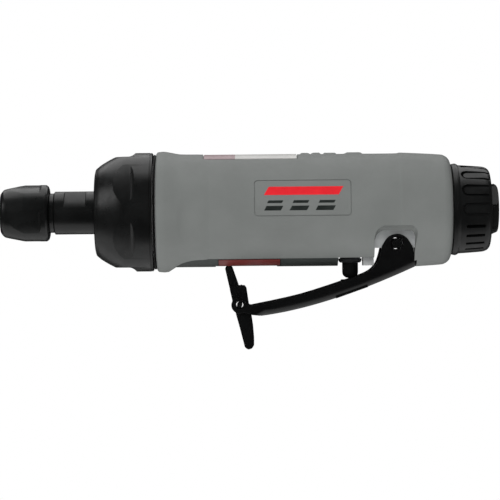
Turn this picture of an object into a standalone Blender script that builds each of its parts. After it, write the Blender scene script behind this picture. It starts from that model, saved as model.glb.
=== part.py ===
"""Pneumatic straight die grinder with a throttle lever and a lock-off latch.

The spindle lies along X: collet at -X, air inlet at +X. Z is up and the throttle
lever hangs at -Z. The origin is on the spindle axis, in the middle of the grip.
Every size below is in millimetres and becomes metres in the helpers.
"""

import math

import bmesh
import bpy
from mathutils import Matrix, Vector

MM = 0.001
GAP = 0.3                  # clearance between pieces that touch
HALF_PI = math.pi / 2
DEEP = 30.0                # reach of a cutter beyond the part

FINE, MEDIUM, COARSE = 48, 20, 16      # facets round a turned piece

# ---- lengths along the spindle ----------------------------------------------
CAP_FRONT = -51.2          # front face of the clamp nut
CAP_LENGTH = 19.2
CAP_FLOOR = 5.0            # clamp nut's front wall
SPINDLE_SHOWN = 15.5       # spindle between the collet nut and the clamp nut
COLLET_NUT_LENGTH = 16.1
COLLET_LENGTH = 13.2
COVER_LENGTH = 97.5        # grey cover
RING = 0.6                 # ring between the clamp nut and the cover
SPACER = 1.3
FRONT_BEARING_W = 6.0
FRONT_PLATE = 5.2          # floor of the front end plate
MOTOR_LENGTH = 34.0        # cylinder liner
REAR_PLATE = 3.6           # floor of the rear end plate
REAR_BEARING_W = 6.0
GASKET = 1.0
CHAMBER_LENGTH = 2.0       # air chamber behind the gasket
SEAT_THICK = 2.0
VALVE_ROOM = 12.5          # from the valve seat to the inlet bushing
KNOB_LENGTH = 12.8         # exhaust deflector
INLET_PROUD = 2.7          # inlet bushing behind the deflector
SOCKET_DEPTH = 11.0

# ---- radii and walls --------------------------------------------------------
SHANK_R = 3.175            # quarter-inch tool shank
COLLET_WALL = 0.5          # collet body round the collet
ROTOR_SHAFT_R = 4.7
REAR_SHAFT_R = 2.7
FRONT_BEARING_R = 11.0
REAR_BEARING_R = 9.5
END_PLATE_WALL = 2.3       # end plate round the front bearing
LINER_WALL = 2.0
BORE_OFFSET = 1.0          # liner bore above the spindle axis
HOUSING_WALL = 2.4
COVER_WALL = 2.25
CAP_PROUD = 0.9            # clamp nut outside the grip
KNOB_STEP = 1.6            # deflector inside the housing's outside
INLET_BORE_R = 5.7         # air socket
INLET_WALL = 1.1
PLUNGER_R = 2.65
PLUNGER_TRAVEL = 2.4
SEAL = 1.3                 # thickness of the plunger seal

# ---- controls ---------------------------------------------------------------
LEVER_SETBACK = 18.2       # lever pin ahead of the cover's rear edge
LEVER_SUNK = 7.75          # lever pin above the bottom of the grip
LEVER_REACH = 52.1         # lever pin to lock pin along X
LEVER_FALL = 20.0          # lever pin to lock pin along Z
LEVER_HALF_WIDTH = 8.0
LEVER_SHEET = 1.6
LEVER_PIN_R = 1.7
LOCK_PIN_R = 0.9
PLUNGER_SETBACK = 15.2     # plunger ahead of the lever pin
PLUNGER_PROUD = 3.65       # plunger below the bottom of the grip

# ---- places along the spindle that follow -----------------------------------
CAP_REAR = CAP_FRONT + CAP_LENGTH
NUT_REAR = CAP_FRONT - SPINDLE_SHOWN
NUT_FRONT = NUT_REAR - COLLET_NUT_LENGTH
COLLET_FRONT = NUT_FRONT + 0.6
COLLET_REAR = COLLET_FRONT + COLLET_LENGTH
BODY_FRONT = NUT_FRONT + 4.9           # front end of the collet body
STUB_FRONT = CAP_FRONT - 3.8           # rotor's threaded stub inside the collet body
COVER_FRONT = CAP_REAR + RING + 2 * GAP
COVER_REAR = COVER_FRONT + COVER_LENGTH
KNOB_FRONT = COVER_REAR + GAP
KNOB_REAR = KNOB_FRONT + KNOB_LENGTH
INLET_END = KNOB_REAR + INLET_PROUD
SOCKET_FLOOR = INLET_END - SOCKET_DEPTH

SPACER_FRONT = CAP_FRONT + CAP_FLOOR + GAP
BEARING_FRONT = SPACER_FRONT + SPACER + GAP
BEARING_REAR = BEARING_FRONT + FRONT_BEARING_W
MOTOR_FRONT = BEARING_REAR + GAP + FRONT_PLATE + GAP
MOTOR_REAR = MOTOR_FRONT + MOTOR_LENGTH
REAR_BEARING_FRONT = MOTOR_REAR + GAP + REAR_PLATE + GAP
PLATE_REAR = REAR_BEARING_FRONT + REAR_BEARING_W
GASKET_FRONT = PLATE_REAR + GAP
BORE_END = GASKET_FRONT + GASKET + GAP

# ---- radii that follow ------------------------------------------------------
COLLET_NOSE_R = SHANK_R + 1.125
COLLET_TAIL_R = SHANK_R + 1.225
COLLET_WIDE_R = SHANK_R + 2.225
THREAD_R = COLLET_WIDE_R + GAP + COLLET_WALL       # collet body's thread
SPINDLE_R = THREAD_R + 0.95
NUT_MOUTH_R = COLLET_NOSE_R + 0.4
COLLET_NUT_R = THREAD_R + 3.2
NUT_FLAT = COLLET_NUT_R - 0.9          # axis to each wrench flat
STUB_R = ROTOR_SHAFT_R - 1.0
MOTOR_R = FRONT_BEARING_R + GAP + END_PLATE_WALL
BORE_R = MOTOR_R - LINER_WALL
ROTOR_R = BORE_R - BORE_OFFSET - GAP
HOUSING_BORE_R = MOTOR_R + GAP
HOUSING_R = HOUSING_BORE_R + HOUSING_WALL
COVER_BORE_R = HOUSING_R + GAP
GRIP_R = COVER_BORE_R + COVER_WALL
CAP_R = GRIP_R + CAP_PROUD
BAND_R = GRIP_R - 0.4                  # flattened band under the grip
KNOB_R = HOUSING_R - KNOB_STEP
RECESS_R = KNOB_R - 1.5                # exhaust recess in the housing's rear
NECK_R = RECESS_R + 1.7
INLET_THREAD_R = INLET_BORE_R + INLET_WALL
INLET_SHOULDER_R = INLET_THREAD_R + 1.3
COLLAR_R = INLET_THREAD_R + 2.6
HEX = INLET_BORE_R + 1.85              # axis to each flat of the inlet hexagon
HEX_CORNER_R = HEX / math.cos(math.pi / 6) + 0.18
VALVE_BORE_R = INLET_THREAD_R - 1.2
VALVE_R = VALVE_BORE_R - 1.4
PASSAGE_R = VALVE_BORE_R - 1.0         # air passage to the chamber
CHAMBER_R = BORE_R
BUSHING_R = PLUNGER_R + GAP + 0.45     # plunger bushing barrel
FLANGE_R = BUSHING_R + 0.5
PLUNGER_STEM_R = PLUNGER_R - 0.9

# ---- controls that follow ---------------------------------------------------
LEVER_PIVOT = (COVER_REAR - LEVER_SETBACK, LEVER_SUNK - GRIP_R)    # x, z
LOCK_PIVOT = (LEVER_PIVOT[0] - LEVER_REACH, LEVER_PIVOT[1] - LEVER_FALL)
PLUNGER_X = LEVER_PIVOT[0] - PLUNGER_SETBACK
PLUNGER_BOTTOM = -GRIP_R - PLUNGER_PROUD
UNDERSIDE_Z = 0.6 - HOUSING_R          # flat under the housing at the plunger
SEAL_TOP = -PASSAGE_R - 1.0
SEAL_BOTTOM = SEAL_TOP - SEAL
PLUNGER_SHOULDER = SEAL_BOTTOM - PLUNGER_TRAVEL - GAP
SEAT_FRONT = PLUNGER_X + 7.8
INLET_FRONT = SEAT_FRONT + SEAT_THICK + VALVE_ROOM


# ============================ helpers ========================================

def clear_scene():
    for item in list(bpy.data.objects):
        bpy.data.objects.remove(item, do_unlink=True)
    for name in ("die_grinder", "cutters"):
        collection = bpy.data.collections.new(name)
        bpy.context.scene.collection.children.link(collection)


def material(name, color, roughness, metallic):
    item = bpy.data.materials.new(name)
    item.use_nodes = True
    shader = item.node_tree.nodes["Principled BSDF"]
    shader.inputs["Base Color"].default_value = (*color, 1.0)
    shader.inputs["Roughness"].default_value = roughness
    shader.inputs["Metallic"].default_value = metallic
    return item


def link(item, finish):
    """Put an object in the model, or among the cutters when it has no finish."""
    if finish is None:
        bpy.data.collections["cutters"].objects.link(item)
        item.hide_render = True
        item.display_type = "WIRE"
    else:
        bpy.data.collections["die_grinder"].objects.link(item)
        item.data.materials.clear()
        item.data.materials.append(finish)
    return item


def from_bmesh(name, mesh_builder, finish):
    mesh = bpy.data.meshes.new(name)
    mesh_builder.to_mesh(mesh)
    mesh_builder.free()
    return link(bpy.data.objects.new(name, mesh), finish)


def turned(name, outline, finish, facets=MEDIUM):
    """Turn a closed outline of (x, r) points about the spindle axis.

    The outline may run either way round. Points at r = 0 lie on the axis.
    """
    area = sum(a[1] * b[0] - b[1] * a[0] for a, b in zip(outline, outline[1:] + outline[:1]))
    points = outline if area < 0 else outline[::-1]
    on_axis = [i for i, point in enumerate(points) if point[1] == 0]
    if on_axis:
        start = next(i for i in on_axis if points[i - 1][1] == 0)
        points = points[start:] + points[:start]
    profile = bmesh.new()
    verts = [profile.verts.new((r * MM, 0, x * MM)) for x, r in points]
    pairs = list(zip(verts, verts[1:]))
    if not on_axis:
        pairs.append((verts[-1], verts[0]))
    for pair in pairs:
        profile.edges.new(pair)
    item = from_bmesh(name, profile, finish)
    item.rotation_euler = (0, HALF_PI, 0)
    screw = item.modifiers.new("turn", "SCREW")
    screw.steps = facets
    screw.render_steps = facets
    screw.use_merge_vertices = True
    screw.merge_threshold = 0.00001
    screw.use_smooth_shade = True
    return item


def rod(name, ends, radius, finish, facets=COARSE):
    """A plain cylinder between two points given in millimetres."""
    start, end = (Vector(point) * MM for point in ends)
    builder = bmesh.new()
    bmesh.ops.create_cone(
        builder, cap_ends=True, segments=facets,
        radius1=radius * MM, radius2=radius * MM, depth=(end - start).length)
    item = from_bmesh(name, builder, finish)
    item.location = (start + end) / 2
    item.rotation_euler = (end - start).to_track_quat("Z", "X").to_euler()
    return item


def box(name, low, high, finish=None):
    builder = bmesh.new()
    bmesh.ops.create_cube(builder, size=1.0)
    size = [(b - a) * MM for a, b in zip(low, high)]
    bmesh.ops.scale(builder, vec=size, verts=builder.verts)
    item = from_bmesh(name, builder, finish)
    item.location = [(a + b) / 2 * MM for a, b in zip(low, high)]
    return item


def arc(center, radius, start, end, count):
    """Points on an arc in the x, z plane; angles in degrees from +X towards +Z."""
    points = []
    for step in range(count + 1):
        angle = math.radians(start + (end - start) * step / count)
        points.append((center[0] + radius * math.cos(angle), center[1] + radius * math.sin(angle)))
    return points


def plate(name, outline, half_width, finish, middle=0.0, round_below=None, round_r=0.0):
    """Extrude an (x, z) outline along Y, as a filled 2D curve made into a mesh.

    round_below(x, z) picks outline points whose long edges get rounded by round_r.
    """
    curve = bpy.data.curves.new(name + "_outline", "CURVE")
    curve.dimensions = "2D"
    curve.fill_mode = "BOTH"
    curve.extrude = half_width * MM
    spline = curve.splines.new("POLY")
    spline.points.add(len(outline) - 1)
    for point, (x, z) in zip(spline.points, outline):
        point.co = (x * MM, z * MM, 0, 1)
    spline.use_cyclic_u = True
    flat = bpy.data.objects.new(name + "_outline", curve)
    bpy.context.scene.collection.objects.link(flat)
    flat.rotation_euler = (HALF_PI, 0, 0)
    flat.location = (0, middle * MM, 0)
    bpy.context.view_layer.update()
    evaluated = flat.evaluated_get(bpy.context.evaluated_depsgraph_get())
    mesh = bpy.data.meshes.new_from_object(evaluated)
    builder = bmesh.new()
    builder.from_mesh(mesh)
    bmesh.ops.remove_doubles(builder, verts=builder.verts, dist=0.000001)
    bmesh.ops.dissolve_limit(
        builder, angle_limit=math.radians(0.5), verts=builder.verts, edges=builder.edges)
    bmesh.ops.recalc_face_normals(builder, faces=builder.faces)
    if round_below:
        chosen = [
            edge for edge in builder.edges
            if all(abs(abs(v.co.z) - half_width * MM) < 1e-6 for v in edge.verts)
            and all(round_below(v.co.x / MM, v.co.y / MM) for v in edge.verts)]
        bmesh.ops.bevel(
            builder, geom=chosen, offset=round_r * MM, offset_type="OFFSET",
            segments=4, profile=0.5, affect="EDGES")
    builder.to_mesh(mesh)
    builder.free()
    mesh.name = name
    item = link(bpy.data.objects.new(name, mesh), finish)
    item.matrix_world = flat.matrix_world.copy()
    bpy.data.objects.remove(flat, do_unlink=True)
    return item


def wire(name, points, radius, finish):
    """A round wire through points in millimetres."""
    curve = bpy.data.curves.new(name, "CURVE")
    curve.dimensions = "3D"
    curve.bevel_depth = radius * MM
    curve.bevel_resolution = 2
    curve.use_fill_caps = True
    spline = curve.splines.new("POLY")
    spline.points.add(len(points) - 1)
    for point, place in zip(spline.points, points):
        point.co = (place[0] * MM, place[1] * MM, place[2] * MM, 1)
    return link(bpy.data.objects.new(name, curve), finish)


def join_cutters(name, items):
    """Make one cutter of several that don't touch each other."""
    bpy.context.view_layer.update()
    builder = bmesh.new()
    for item in items:
        part = bmesh.new()
        part.from_mesh(item.data)
        part.transform(item.matrix_world)
        mesh = bpy.data.meshes.new(name)
        part.to_mesh(mesh)
        part.free()
        builder.from_mesh(mesh)
        bpy.data.meshes.remove(mesh)
        bpy.data.objects.remove(item, do_unlink=True)
    return from_bmesh(name, builder, None)


def combine(item, other, operation="DIFFERENCE"):
    modifier = item.modifiers.new(operation.lower(), "BOOLEAN")
    modifier.operation = operation
    modifier.solver = "EXACT"
    modifier.object = other
    return modifier


def flats(name, distance, front, rear, turns, run_out=0.0, depth=8.0):
    """Blocks that cut wrench flats: each lies outside a flat at the given distance.

    run_out slants the rear end of each block, for the ramp a milling cutter leaves.
    """
    blocks = []
    for number, turn in enumerate(turns):
        outline = [
            (front, distance), (rear, distance),
            (rear + run_out, distance + depth), (front, distance + depth)]
        block = plate(f"{name}_{number}", outline, 2 * distance, None)
        block.matrix_world = Matrix.Rotation(math.radians(turn), 4, "X") @ block.matrix_world
        blocks.append(block)
    return blocks


def around(count, radius, start=0.0):
    """(angle in degrees, y, z) of points spaced evenly on a circle."""
    places = []
    for index in range(count):
        degrees = start + 360 * index / count
        angle = math.radians(degrees)
        places.append((degrees, radius * math.cos(angle), radius * math.sin(angle)))
    return places


# ============================ collet group ===================================

SLIT = 0.8                 # saw cuts in the collet


def collet_group(black, steel):
    nut = turned("collet_nut", [
        (NUT_FRONT, NUT_MOUTH_R), (NUT_FRONT, COLLET_NUT_R - 2.7),
        (NUT_FRONT + 0.7, COLLET_NUT_R - 1.9), (NUT_FRONT + 1.5, COLLET_NUT_R - 1.4),
        (NUT_FRONT + 5.0, COLLET_NUT_R - 0.65), (NUT_FRONT + 8.1, COLLET_NUT_R),
        (NUT_REAR - 1.0, COLLET_NUT_R), (NUT_REAR - 0.3, COLLET_NUT_R - 0.4),
        (NUT_REAR, COLLET_NUT_R - 1.0),
        (NUT_REAR, THREAD_R + GAP), (BODY_FRONT - 1.0, THREAD_R + GAP),
        (BODY_FRONT - 2.4, COLLET_WIDE_R + GAP), (NUT_FRONT + 1.2, NUT_MOUTH_R)],
        black, facets=32)
    turns = (70, 160, 250, 340)
    blocks = flats("nut_flat", NUT_FLAT, NUT_FRONT + 3.8, NUT_REAR - 3.2, turns, run_out=2.5)
    for block in blocks:
        combine(nut, block)

    collet = turned("collet", [
        (COLLET_FRONT, SHANK_R), (COLLET_FRONT, COLLET_NOSE_R), (NUT_FRONT + 1.4, COLLET_NOSE_R),
        (BODY_FRONT - 2.0, COLLET_WIDE_R), (BODY_FRONT - 0.7, COLLET_WIDE_R),
        (COLLET_REAR, COLLET_TAIL_R), (COLLET_REAR, SHANK_R)], steel)
    for degrees in (30, 150, 270):
        slit = box("slit", (COLLET_FRONT - 2, -SLIT / 2, 0), (COLLET_REAR - 3.0, SLIT / 2, DEEP))
        slit.matrix_world = Matrix.Rotation(math.radians(degrees), 4, "X") @ place_of(slit)
        combine(collet, slit)

    rear = BEARING_FRONT - GAP
    body = turned("collet_body", [
        (BODY_FRONT, COLLET_WIDE_R + GAP), (BODY_FRONT, THREAD_R), (NUT_REAR - 0.4, THREAD_R),
        (NUT_REAR + 0.2, SPINDLE_R - 0.6), (NUT_REAR + 1.6, SPINDLE_R - 0.6),
        (NUT_REAR + 2.0, SPINDLE_R),
        (rear, SPINDLE_R), (rear, STUB_R + GAP), (STUB_FRONT - GAP, STUB_R + GAP),
        (STUB_FRONT - GAP, 2.0), (COLLET_REAR + 4.0, 2.0), (COLLET_REAR + 4.0, SHANK_R + GAP),
        (COLLET_REAR + 1.0, SHANK_R + GAP), (COLLET_REAR, COLLET_TAIL_R + GAP)], steel)
    across = SPINDLE_R - 0.95
    for block in flats("spindle_flat", across, NUT_REAR + 5.1, CAP_FRONT - 3.0, (46, 226), depth=4.0):
        combine(body, block)


def place_of(item):
    """An object's own placement, ready to be turned with a matrix."""
    return Matrix.Translation(item.location) @ item.rotation_euler.to_matrix().to_4x4()


# ============================ front end ======================================

CAP_FLAT = CAP_R - 1.4     # axis to each flat of the clamp nut


def clamp_nut(black, rubber):
    cavity = CAP_FRONT + CAP_FLOOR
    mouth_r = SPINDLE_R + GAP + 0.05
    nut = turned("clamp_nut", [
        (CAP_FRONT, mouth_r), (CAP_FRONT, CAP_R - 5.55), (CAP_FRONT + 0.9, CAP_R - 4.85),
        (CAP_FRONT + 1.9, CAP_R - 3.95), (CAP_FRONT + 3.9, CAP_R - 2.75),
        (CAP_FRONT + 5.9, CAP_R - 1.65), (CAP_FRONT + 7.6, CAP_R - 0.75),
        (CAP_FRONT + 9.2, CAP_R - 0.15), (CAP_FRONT + 10.2, CAP_R),
        (CAP_REAR - 0.4, CAP_R), (CAP_REAR, CAP_R - 0.4), (CAP_REAR, COVER_BORE_R),
        (cavity, COVER_BORE_R), (cavity, mouth_r)], black, facets=FINE)
    turns = [60 * index for index in range(6)]
    blocks = flats("cap_flat", CAP_FLAT, CAP_FRONT - 1, CAP_FRONT + 11.2, turns, run_out=2.7, depth=2.7)
    for block in blocks:
        combine(nut, block)

    ring_r = GRIP_R + 0.25
    turned("cap_ring", [
        (CAP_REAR + GAP, COVER_BORE_R), (CAP_REAR + GAP, ring_r),
        (COVER_FRONT - GAP, ring_r), (COVER_FRONT - GAP, COVER_BORE_R)], rubber, facets=FINE)


# ============================ bearings =======================================

def ball_bearing(prefix, front, width, bore, outside, balls, steel, cage_finish):
    """Two grooved races and a cage of balls. The races and the gap share the section."""
    section = (outside - bore) / 3
    inner_land = bore + section
    outer_land = outside - section
    ball_r = 0.8 * section
    middle = front + width / 2
    pitch = (bore + outside) / 2
    groove_r = ball_r + GAP
    rise = outer_land - pitch
    open_angle = math.degrees(math.asin(rise / groove_r))
    outer_groove = arc((middle, pitch), groove_r, 180 - open_angle, open_angle, 4)
    inner_groove = arc((middle, pitch), groove_r, open_angle - 180, -open_angle, 4)
    rear = front + width
    turned(f"{prefix}_outer_race", [
        (front, outer_land), *outer_groove, (rear, outer_land), (rear, outside),
        (front, outside)], steel)
    turned(f"{prefix}_inner_race", [
        (front, bore), (front, inner_land), *inner_groove, (rear, inner_land), (rear, bore)], steel)
    half = rise - GAP - 0.1
    cage = turned(f"{prefix}_cage", [
        (middle - 0.8, pitch - half), (middle - 0.8, pitch + half),
        (middle + 0.8, pitch + half), (middle + 0.8, pitch - half)], cage_finish)
    spheres = []
    for _, y, z in around(balls, pitch):
        builder = bmesh.new()
        bmesh.ops.create_uvsphere(builder, u_segments=8, v_segments=5, radius=ball_r * MM)
        ball = from_bmesh("ball", builder, None)
        ball.location = (middle * MM, y * MM, z * MM)
        spheres.append(ball)
    combine(cage, join_cutters(f"{prefix}_balls", spheres), "UNION")


# ============================ air motor ======================================

BLADES = 5
BLADE = 1.2
BLADE_SLOT = BLADE + 2 * GAP
SLOT_FLOOR_R = 4.5
PIN_R = 0.9
PIN_Z = 1.5 - MOTOR_R
PIN_FRONT = MOTOR_FRONT - 4.5
PIN_REAR = MOTOR_REAR + 2.6
AIR_PORT_R = 0.9
AIR_PORT_CIRCLE = (REAR_BEARING_R + MOTOR_R) / 2 - 0.15


def pin_hole(name):
    ends = [(PIN_FRONT - GAP, 0, PIN_Z), (PIN_REAR + GAP, 0, PIN_Z)]
    return rod(name, ends, PIN_R + GAP, None, 12)


def air_ports(name):
    holes = []
    for turn in (60, 90, 120):
        angle = math.radians(turn)
        y, z = AIR_PORT_CIRCLE * math.cos(angle), AIR_PORT_CIRCLE * math.sin(angle)
        holes.append(rod(name, [(MOTOR_REAR - 2, y, z), (BORE_END, y, z)], AIR_PORT_R, None, 10))
    return join_cutters(name, holes)


def air_motor(steel, cast, blade_finish, paper, brass):
    spacer_r = FRONT_BEARING_R - 1.4
    turned("bearing_spacer", [
        (SPACER_FRONT, spacer_r), (SPACER_FRONT, MOTOR_R), (SPACER_FRONT + SPACER, MOTOR_R),
        (SPACER_FRONT + SPACER, spacer_r)], steel)
    ball_bearing("front_bearing", BEARING_FRONT, FRONT_BEARING_W,
                 ROTOR_SHAFT_R + GAP, FRONT_BEARING_R, 8, steel, brass)
    plate_rear = MOTOR_FRONT - GAP
    shaft_hole_r = ROTOR_SHAFT_R + GAP + 0.8
    front_plate = turned("front_end_plate", [
        (BEARING_FRONT, FRONT_BEARING_R + GAP), (BEARING_FRONT, MOTOR_R), (plate_rear, MOTOR_R),
        (plate_rear, shaft_hole_r), (BEARING_REAR + GAP, shaft_hole_r),
        (BEARING_REAR + GAP, FRONT_BEARING_R + GAP)], cast)
    combine(front_plate, pin_hole("front_plate_pin_hole"))

    liner = turned("cylinder", [
        (MOTOR_FRONT, 0), (MOTOR_FRONT, MOTOR_R), (MOTOR_REAR, MOTOR_R), (MOTOR_REAR, 0)],
        cast, facets=32)
    bore = rod("liner_bore", [(MOTOR_FRONT - 2, 0, BORE_OFFSET), (MOTOR_REAR + 2, 0, BORE_OFFSET)],
               BORE_R, None, 32)
    combine(liner, bore)
    combine(liner, pin_hole("liner_pin_hole"))
    ports = []
    for side in (-1, 1):
        for index in range(3):
            middle = MOTOR_FRONT + MOTOR_LENGTH * (0.25 + 0.25 * index)
            low, high = sorted((side * (BORE_R - 2.6), side * (MOTOR_R + 2.4)))
            ports.append(box("port", (middle - 1.8, low, -1.6), (middle + 1.8, high, 1.6)))
    combine(liner, join_cutters("liner_ports", ports))

    rod("cylinder_pin", [(PIN_FRONT, 0, PIN_Z), (PIN_REAR, 0, PIN_Z)], PIN_R, steel, 12)

    front, rear = MOTOR_FRONT + GAP, MOTOR_REAR - GAP
    shoulder_r = REAR_SHAFT_R + GAP + (REAR_BEARING_R - REAR_SHAFT_R - GAP) / 3
    rotor = turned("rotor", [
        (STUB_FRONT, 0), (STUB_FRONT, STUB_R), (BEARING_FRONT, STUB_R),
        (BEARING_FRONT + 0.5, ROTOR_SHAFT_R), (front - 0.1, ROTOR_SHAFT_R), (front, ROTOR_R),
        (rear, ROTOR_R), (rear + 0.1, shoulder_r),
        (REAR_BEARING_FRONT - GAP, shoulder_r), (REAR_BEARING_FRONT - GAP, REAR_SHAFT_R),
        (PLATE_REAR + 0.6, REAR_SHAFT_R), (PLATE_REAR + 0.6, 0)], steel)
    slots = []
    for degrees, _, _ in around(BLADES, 1.0, start=18):
        half = BLADE_SLOT / 2
        slot = box("slot", (front - 0.05, -half, SLOT_FLOOR_R), (rear + 0.05, half, MOTOR_R))
        slot.matrix_world = Matrix.Rotation(math.radians(degrees), 4, "X") @ place_of(slot)
        slots.append(slot)
    combine(rotor, join_cutters("blade_slots", slots))
    for number, (degrees, _, _) in enumerate(around(BLADES, 1.0, start=18), start=1):
        blade = box(f"rotor_blade_{number}", (front + 0.1, -BLADE / 2, SLOT_FLOOR_R + GAP),
                    (rear - 0.1, BLADE / 2, ROTOR_R - 0.1), blade_finish)
        turn = Matrix.Rotation(math.radians(degrees), 4, "X") @ place_of(blade)
        blade.data.transform(turn)
        blade.location = (0, 0, 0)

    floor = MOTOR_REAR + GAP
    rear_plate = turned("rear_end_plate", [
        (floor, shoulder_r + GAP), (floor, MOTOR_R), (PLATE_REAR, MOTOR_R),
        (PLATE_REAR, REAR_BEARING_R + GAP), (floor + REAR_PLATE, REAR_BEARING_R + GAP),
        (floor + REAR_PLATE, shoulder_r + GAP)], cast)
    combine(rear_plate, pin_hole("rear_plate_pin_hole"))
    combine(rear_plate, air_ports("rear_plate_ports"))
    ball_bearing("rear_bearing", REAR_BEARING_FRONT, REAR_BEARING_W,
                 REAR_SHAFT_R + GAP, REAR_BEARING_R, 7, steel, brass)
    gasket_r = REAR_BEARING_R + 0.4
    gasket = turned("rear_gasket", [
        (GASKET_FRONT, gasket_r), (GASKET_FRONT, MOTOR_R), (GASKET_FRONT + GASKET, MOTOR_R),
        (GASKET_FRONT + GASKET, gasket_r)], paper)
    combine(gasket, air_ports("gasket_ports"))


# ============================ valve and inlet =================================

STEM_R = 1.1               # valve stem that the plunger tilts


def valve_group(steel, brass, rubber, black):
    seat_rear = SEAT_FRONT + SEAT_THICK
    seat_hole_r = VALVE_R - 1.2
    turned("valve_seat", [
        (SEAT_FRONT, seat_hole_r), (SEAT_FRONT, VALVE_BORE_R - GAP), (seat_rear, VALVE_BORE_R - GAP),
        (seat_rear, seat_hole_r)], brass)
    face = seat_rear + GAP
    turned("throttle_valve", [
        (PLUNGER_X - 2.2, 0), (PLUNGER_X - 2.2, STEM_R), (face, STEM_R), (face, VALVE_R),
        (face + 1.6, VALVE_R), (face + 1.6, 1.8), (face + 3.4, 1.8), (face + 3.4, 0)], steel,
        facets=COARSE)
    coil = []
    turns, per_turn = 4, 10
    start, end = face + 1.6 + GAP + 0.5, INLET_FRONT - GAP - 0.5
    coil_r = VALVE_R - 0.9
    for step in range(turns * per_turn + 1):
        angle = math.tau * step / per_turn
        x = start + (end - start) * step / (turns * per_turn)
        coil.append((x, coil_r * math.cos(angle), coil_r * math.sin(angle)))
    wire("valve_spring", coil, 0.45, steel)

    bushing_top = PLUNGER_SHOULDER + 0.2
    turn_upright(turned("plunger_bushing", [
        (UNDERSIDE_Z - 1.7, PLUNGER_R + GAP), (UNDERSIDE_Z - 1.7, FLANGE_R - 0.7),
        (UNDERSIDE_Z - 1.1, FLANGE_R - 0.2), (UNDERSIDE_Z - GAP, FLANGE_R),
        (UNDERSIDE_Z - GAP, BUSHING_R), (bushing_top, BUSHING_R),
        (bushing_top, PLUNGER_R + GAP)], steel))
    turn_upright(turned("valve_plunger", [
        (PLUNGER_BOTTOM, 0), (PLUNGER_BOTTOM + 0.1, PLUNGER_R - 1.65),
        (PLUNGER_BOTTOM + 0.5, PLUNGER_R - 0.75), (PLUNGER_BOTTOM + 1.2, PLUNGER_R - 0.15),
        (PLUNGER_BOTTOM + 1.9, PLUNGER_R), (PLUNGER_SHOULDER, PLUNGER_R),
        (PLUNGER_SHOULDER, PLUNGER_STEM_R), (-STEM_R - GAP, PLUNGER_STEM_R),
        (-STEM_R - GAP, 0)], black))
    turn_upright(turned("plunger_seal", [
        (SEAL_BOTTOM, PLUNGER_STEM_R + GAP), (SEAL_BOTTOM, BUSHING_R), (SEAL_TOP, BUSHING_R),
        (SEAL_TOP, PLUNGER_STEM_R + GAP)], rubber))


def turn_upright(item):
    """Stand a piece turned about X on the plunger's vertical axis instead."""
    item.rotation_euler = (0, 0, 0)
    item.location = (PLUNGER_X * MM, 0, 0)
    return item


def inlet_group(black, steel, rubber):
    collar_front = KNOB_FRONT + 3.4
    collar_rear = collar_front + 1.6
    throat_r = PASSAGE_R - 0.4
    bushing = turned("inlet_bushing", [
        (INLET_FRONT, throat_r), (INLET_FRONT, INLET_THREAD_R),
        (COVER_REAR - GAP, INLET_THREAD_R), (COVER_REAR - GAP, INLET_SHOULDER_R - GAP),
        (collar_front, INLET_SHOULDER_R - GAP), (collar_front, COLLAR_R), (collar_rear, COLLAR_R),
        (collar_rear, HEX_CORNER_R), (INLET_END - 1.2, HEX_CORNER_R), (INLET_END, HEX - 0.05),
        (INLET_END, INLET_BORE_R), (SOCKET_FLOOR, INLET_BORE_R), (SOCKET_FLOOR, throat_r)],
        black, facets=32)
    turns = [60 * index - 7 for index in range(6)]
    for block in flats("inlet_flat", HEX, collar_rear + 0.8, INLET_END + 1, turns, depth=4.0):
        combine(bushing, block)
    screen_front = SOCKET_FLOOR + GAP
    screen = turned("inlet_screen", [
        (screen_front, 0), (screen_front, INLET_BORE_R - GAP),
        (screen_front + 0.8, INLET_BORE_R - GAP), (screen_front + 0.8, 0)], steel, facets=24)
    holes = []
    for _, y, z in [(0, 0, 0), *around(4, 3.2)]:
        ends = [(screen_front - 1, y, z), (screen_front + 3, y, z)]
        holes.append(rod("screen_hole", ends, 1.0, None, 8))
    combine(screen, join_cutters("screen_holes", holes))
    seal_front = KNOB_FRONT + 0.1
    turned("deflector_seal", [
        (seal_front, INLET_SHOULDER_R), (seal_front, INLET_SHOULDER_R + 1.1),
        (seal_front + 1.0, INLET_SHOULDER_R + 1.1), (seal_front + 1.0, INLET_SHOULDER_R)], rubber)


# ============================ housing =========================================

DUCT_IN, DUCT_OUT, DUCT_HALF = MOTOR_R - 1.0, HOUSING_R - 1.1, 3.0      # exhaust ducts
RECESS_FRONT = COVER_REAR - 5.7
STEP_X = COVER_REAR - 3.7                           # where the housing narrows to its neck
WINDOW_FRONT = LEVER_PIVOT[0] - 7.5                 # lever window in the cover
WINDOW_REAR = LEVER_PIVOT[0] + 6.6
WINDOW_TOP = LEVER_PIVOT[1] + 5.8
WINDOW_CORNER = 2.2
BOSS_HALF = LEVER_HALF_WIDTH - LEVER_SHEET - GAP    # boss between the lever's ears
BOSS_BOTTOM = LEVER_PIVOT[1] - 1.5
LUG_R = LEVER_PIN_R + 1.7                           # boss round the lever pin
NOTCH_FRONT = PLUNGER_X - FLANGE_R - GAP            # step under the grip, ahead of the plunger
RIB_FRONT = PLUNGER_X + FLANGE_R + GAP              # rib behind the plunger
RIB_HALF = 4.6
RIB_BOTTOM = 0.45 - GRIP_R
GROOVE_FRONT = LOCK_PIVOT[0] - 7.9                  # clearance for the lock lever
GROOVE_REAR = LOCK_PIVOT[0] + 12.6
GROOVE_TOP = 3.95 - GRIP_R
GROOVE_HALF = 3.1
BAND_FRONT, BAND_REAR = COVER_FRONT + 5.8, WINDOW_FRONT + 4.0
BAND_HALF = 10.3
INLET_BOSS_R = INLET_THREAD_R + 2.2                 # housing round the inlet bushing
CHAMBER_REAR = BORE_END + CHAMBER_LENGTH


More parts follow.
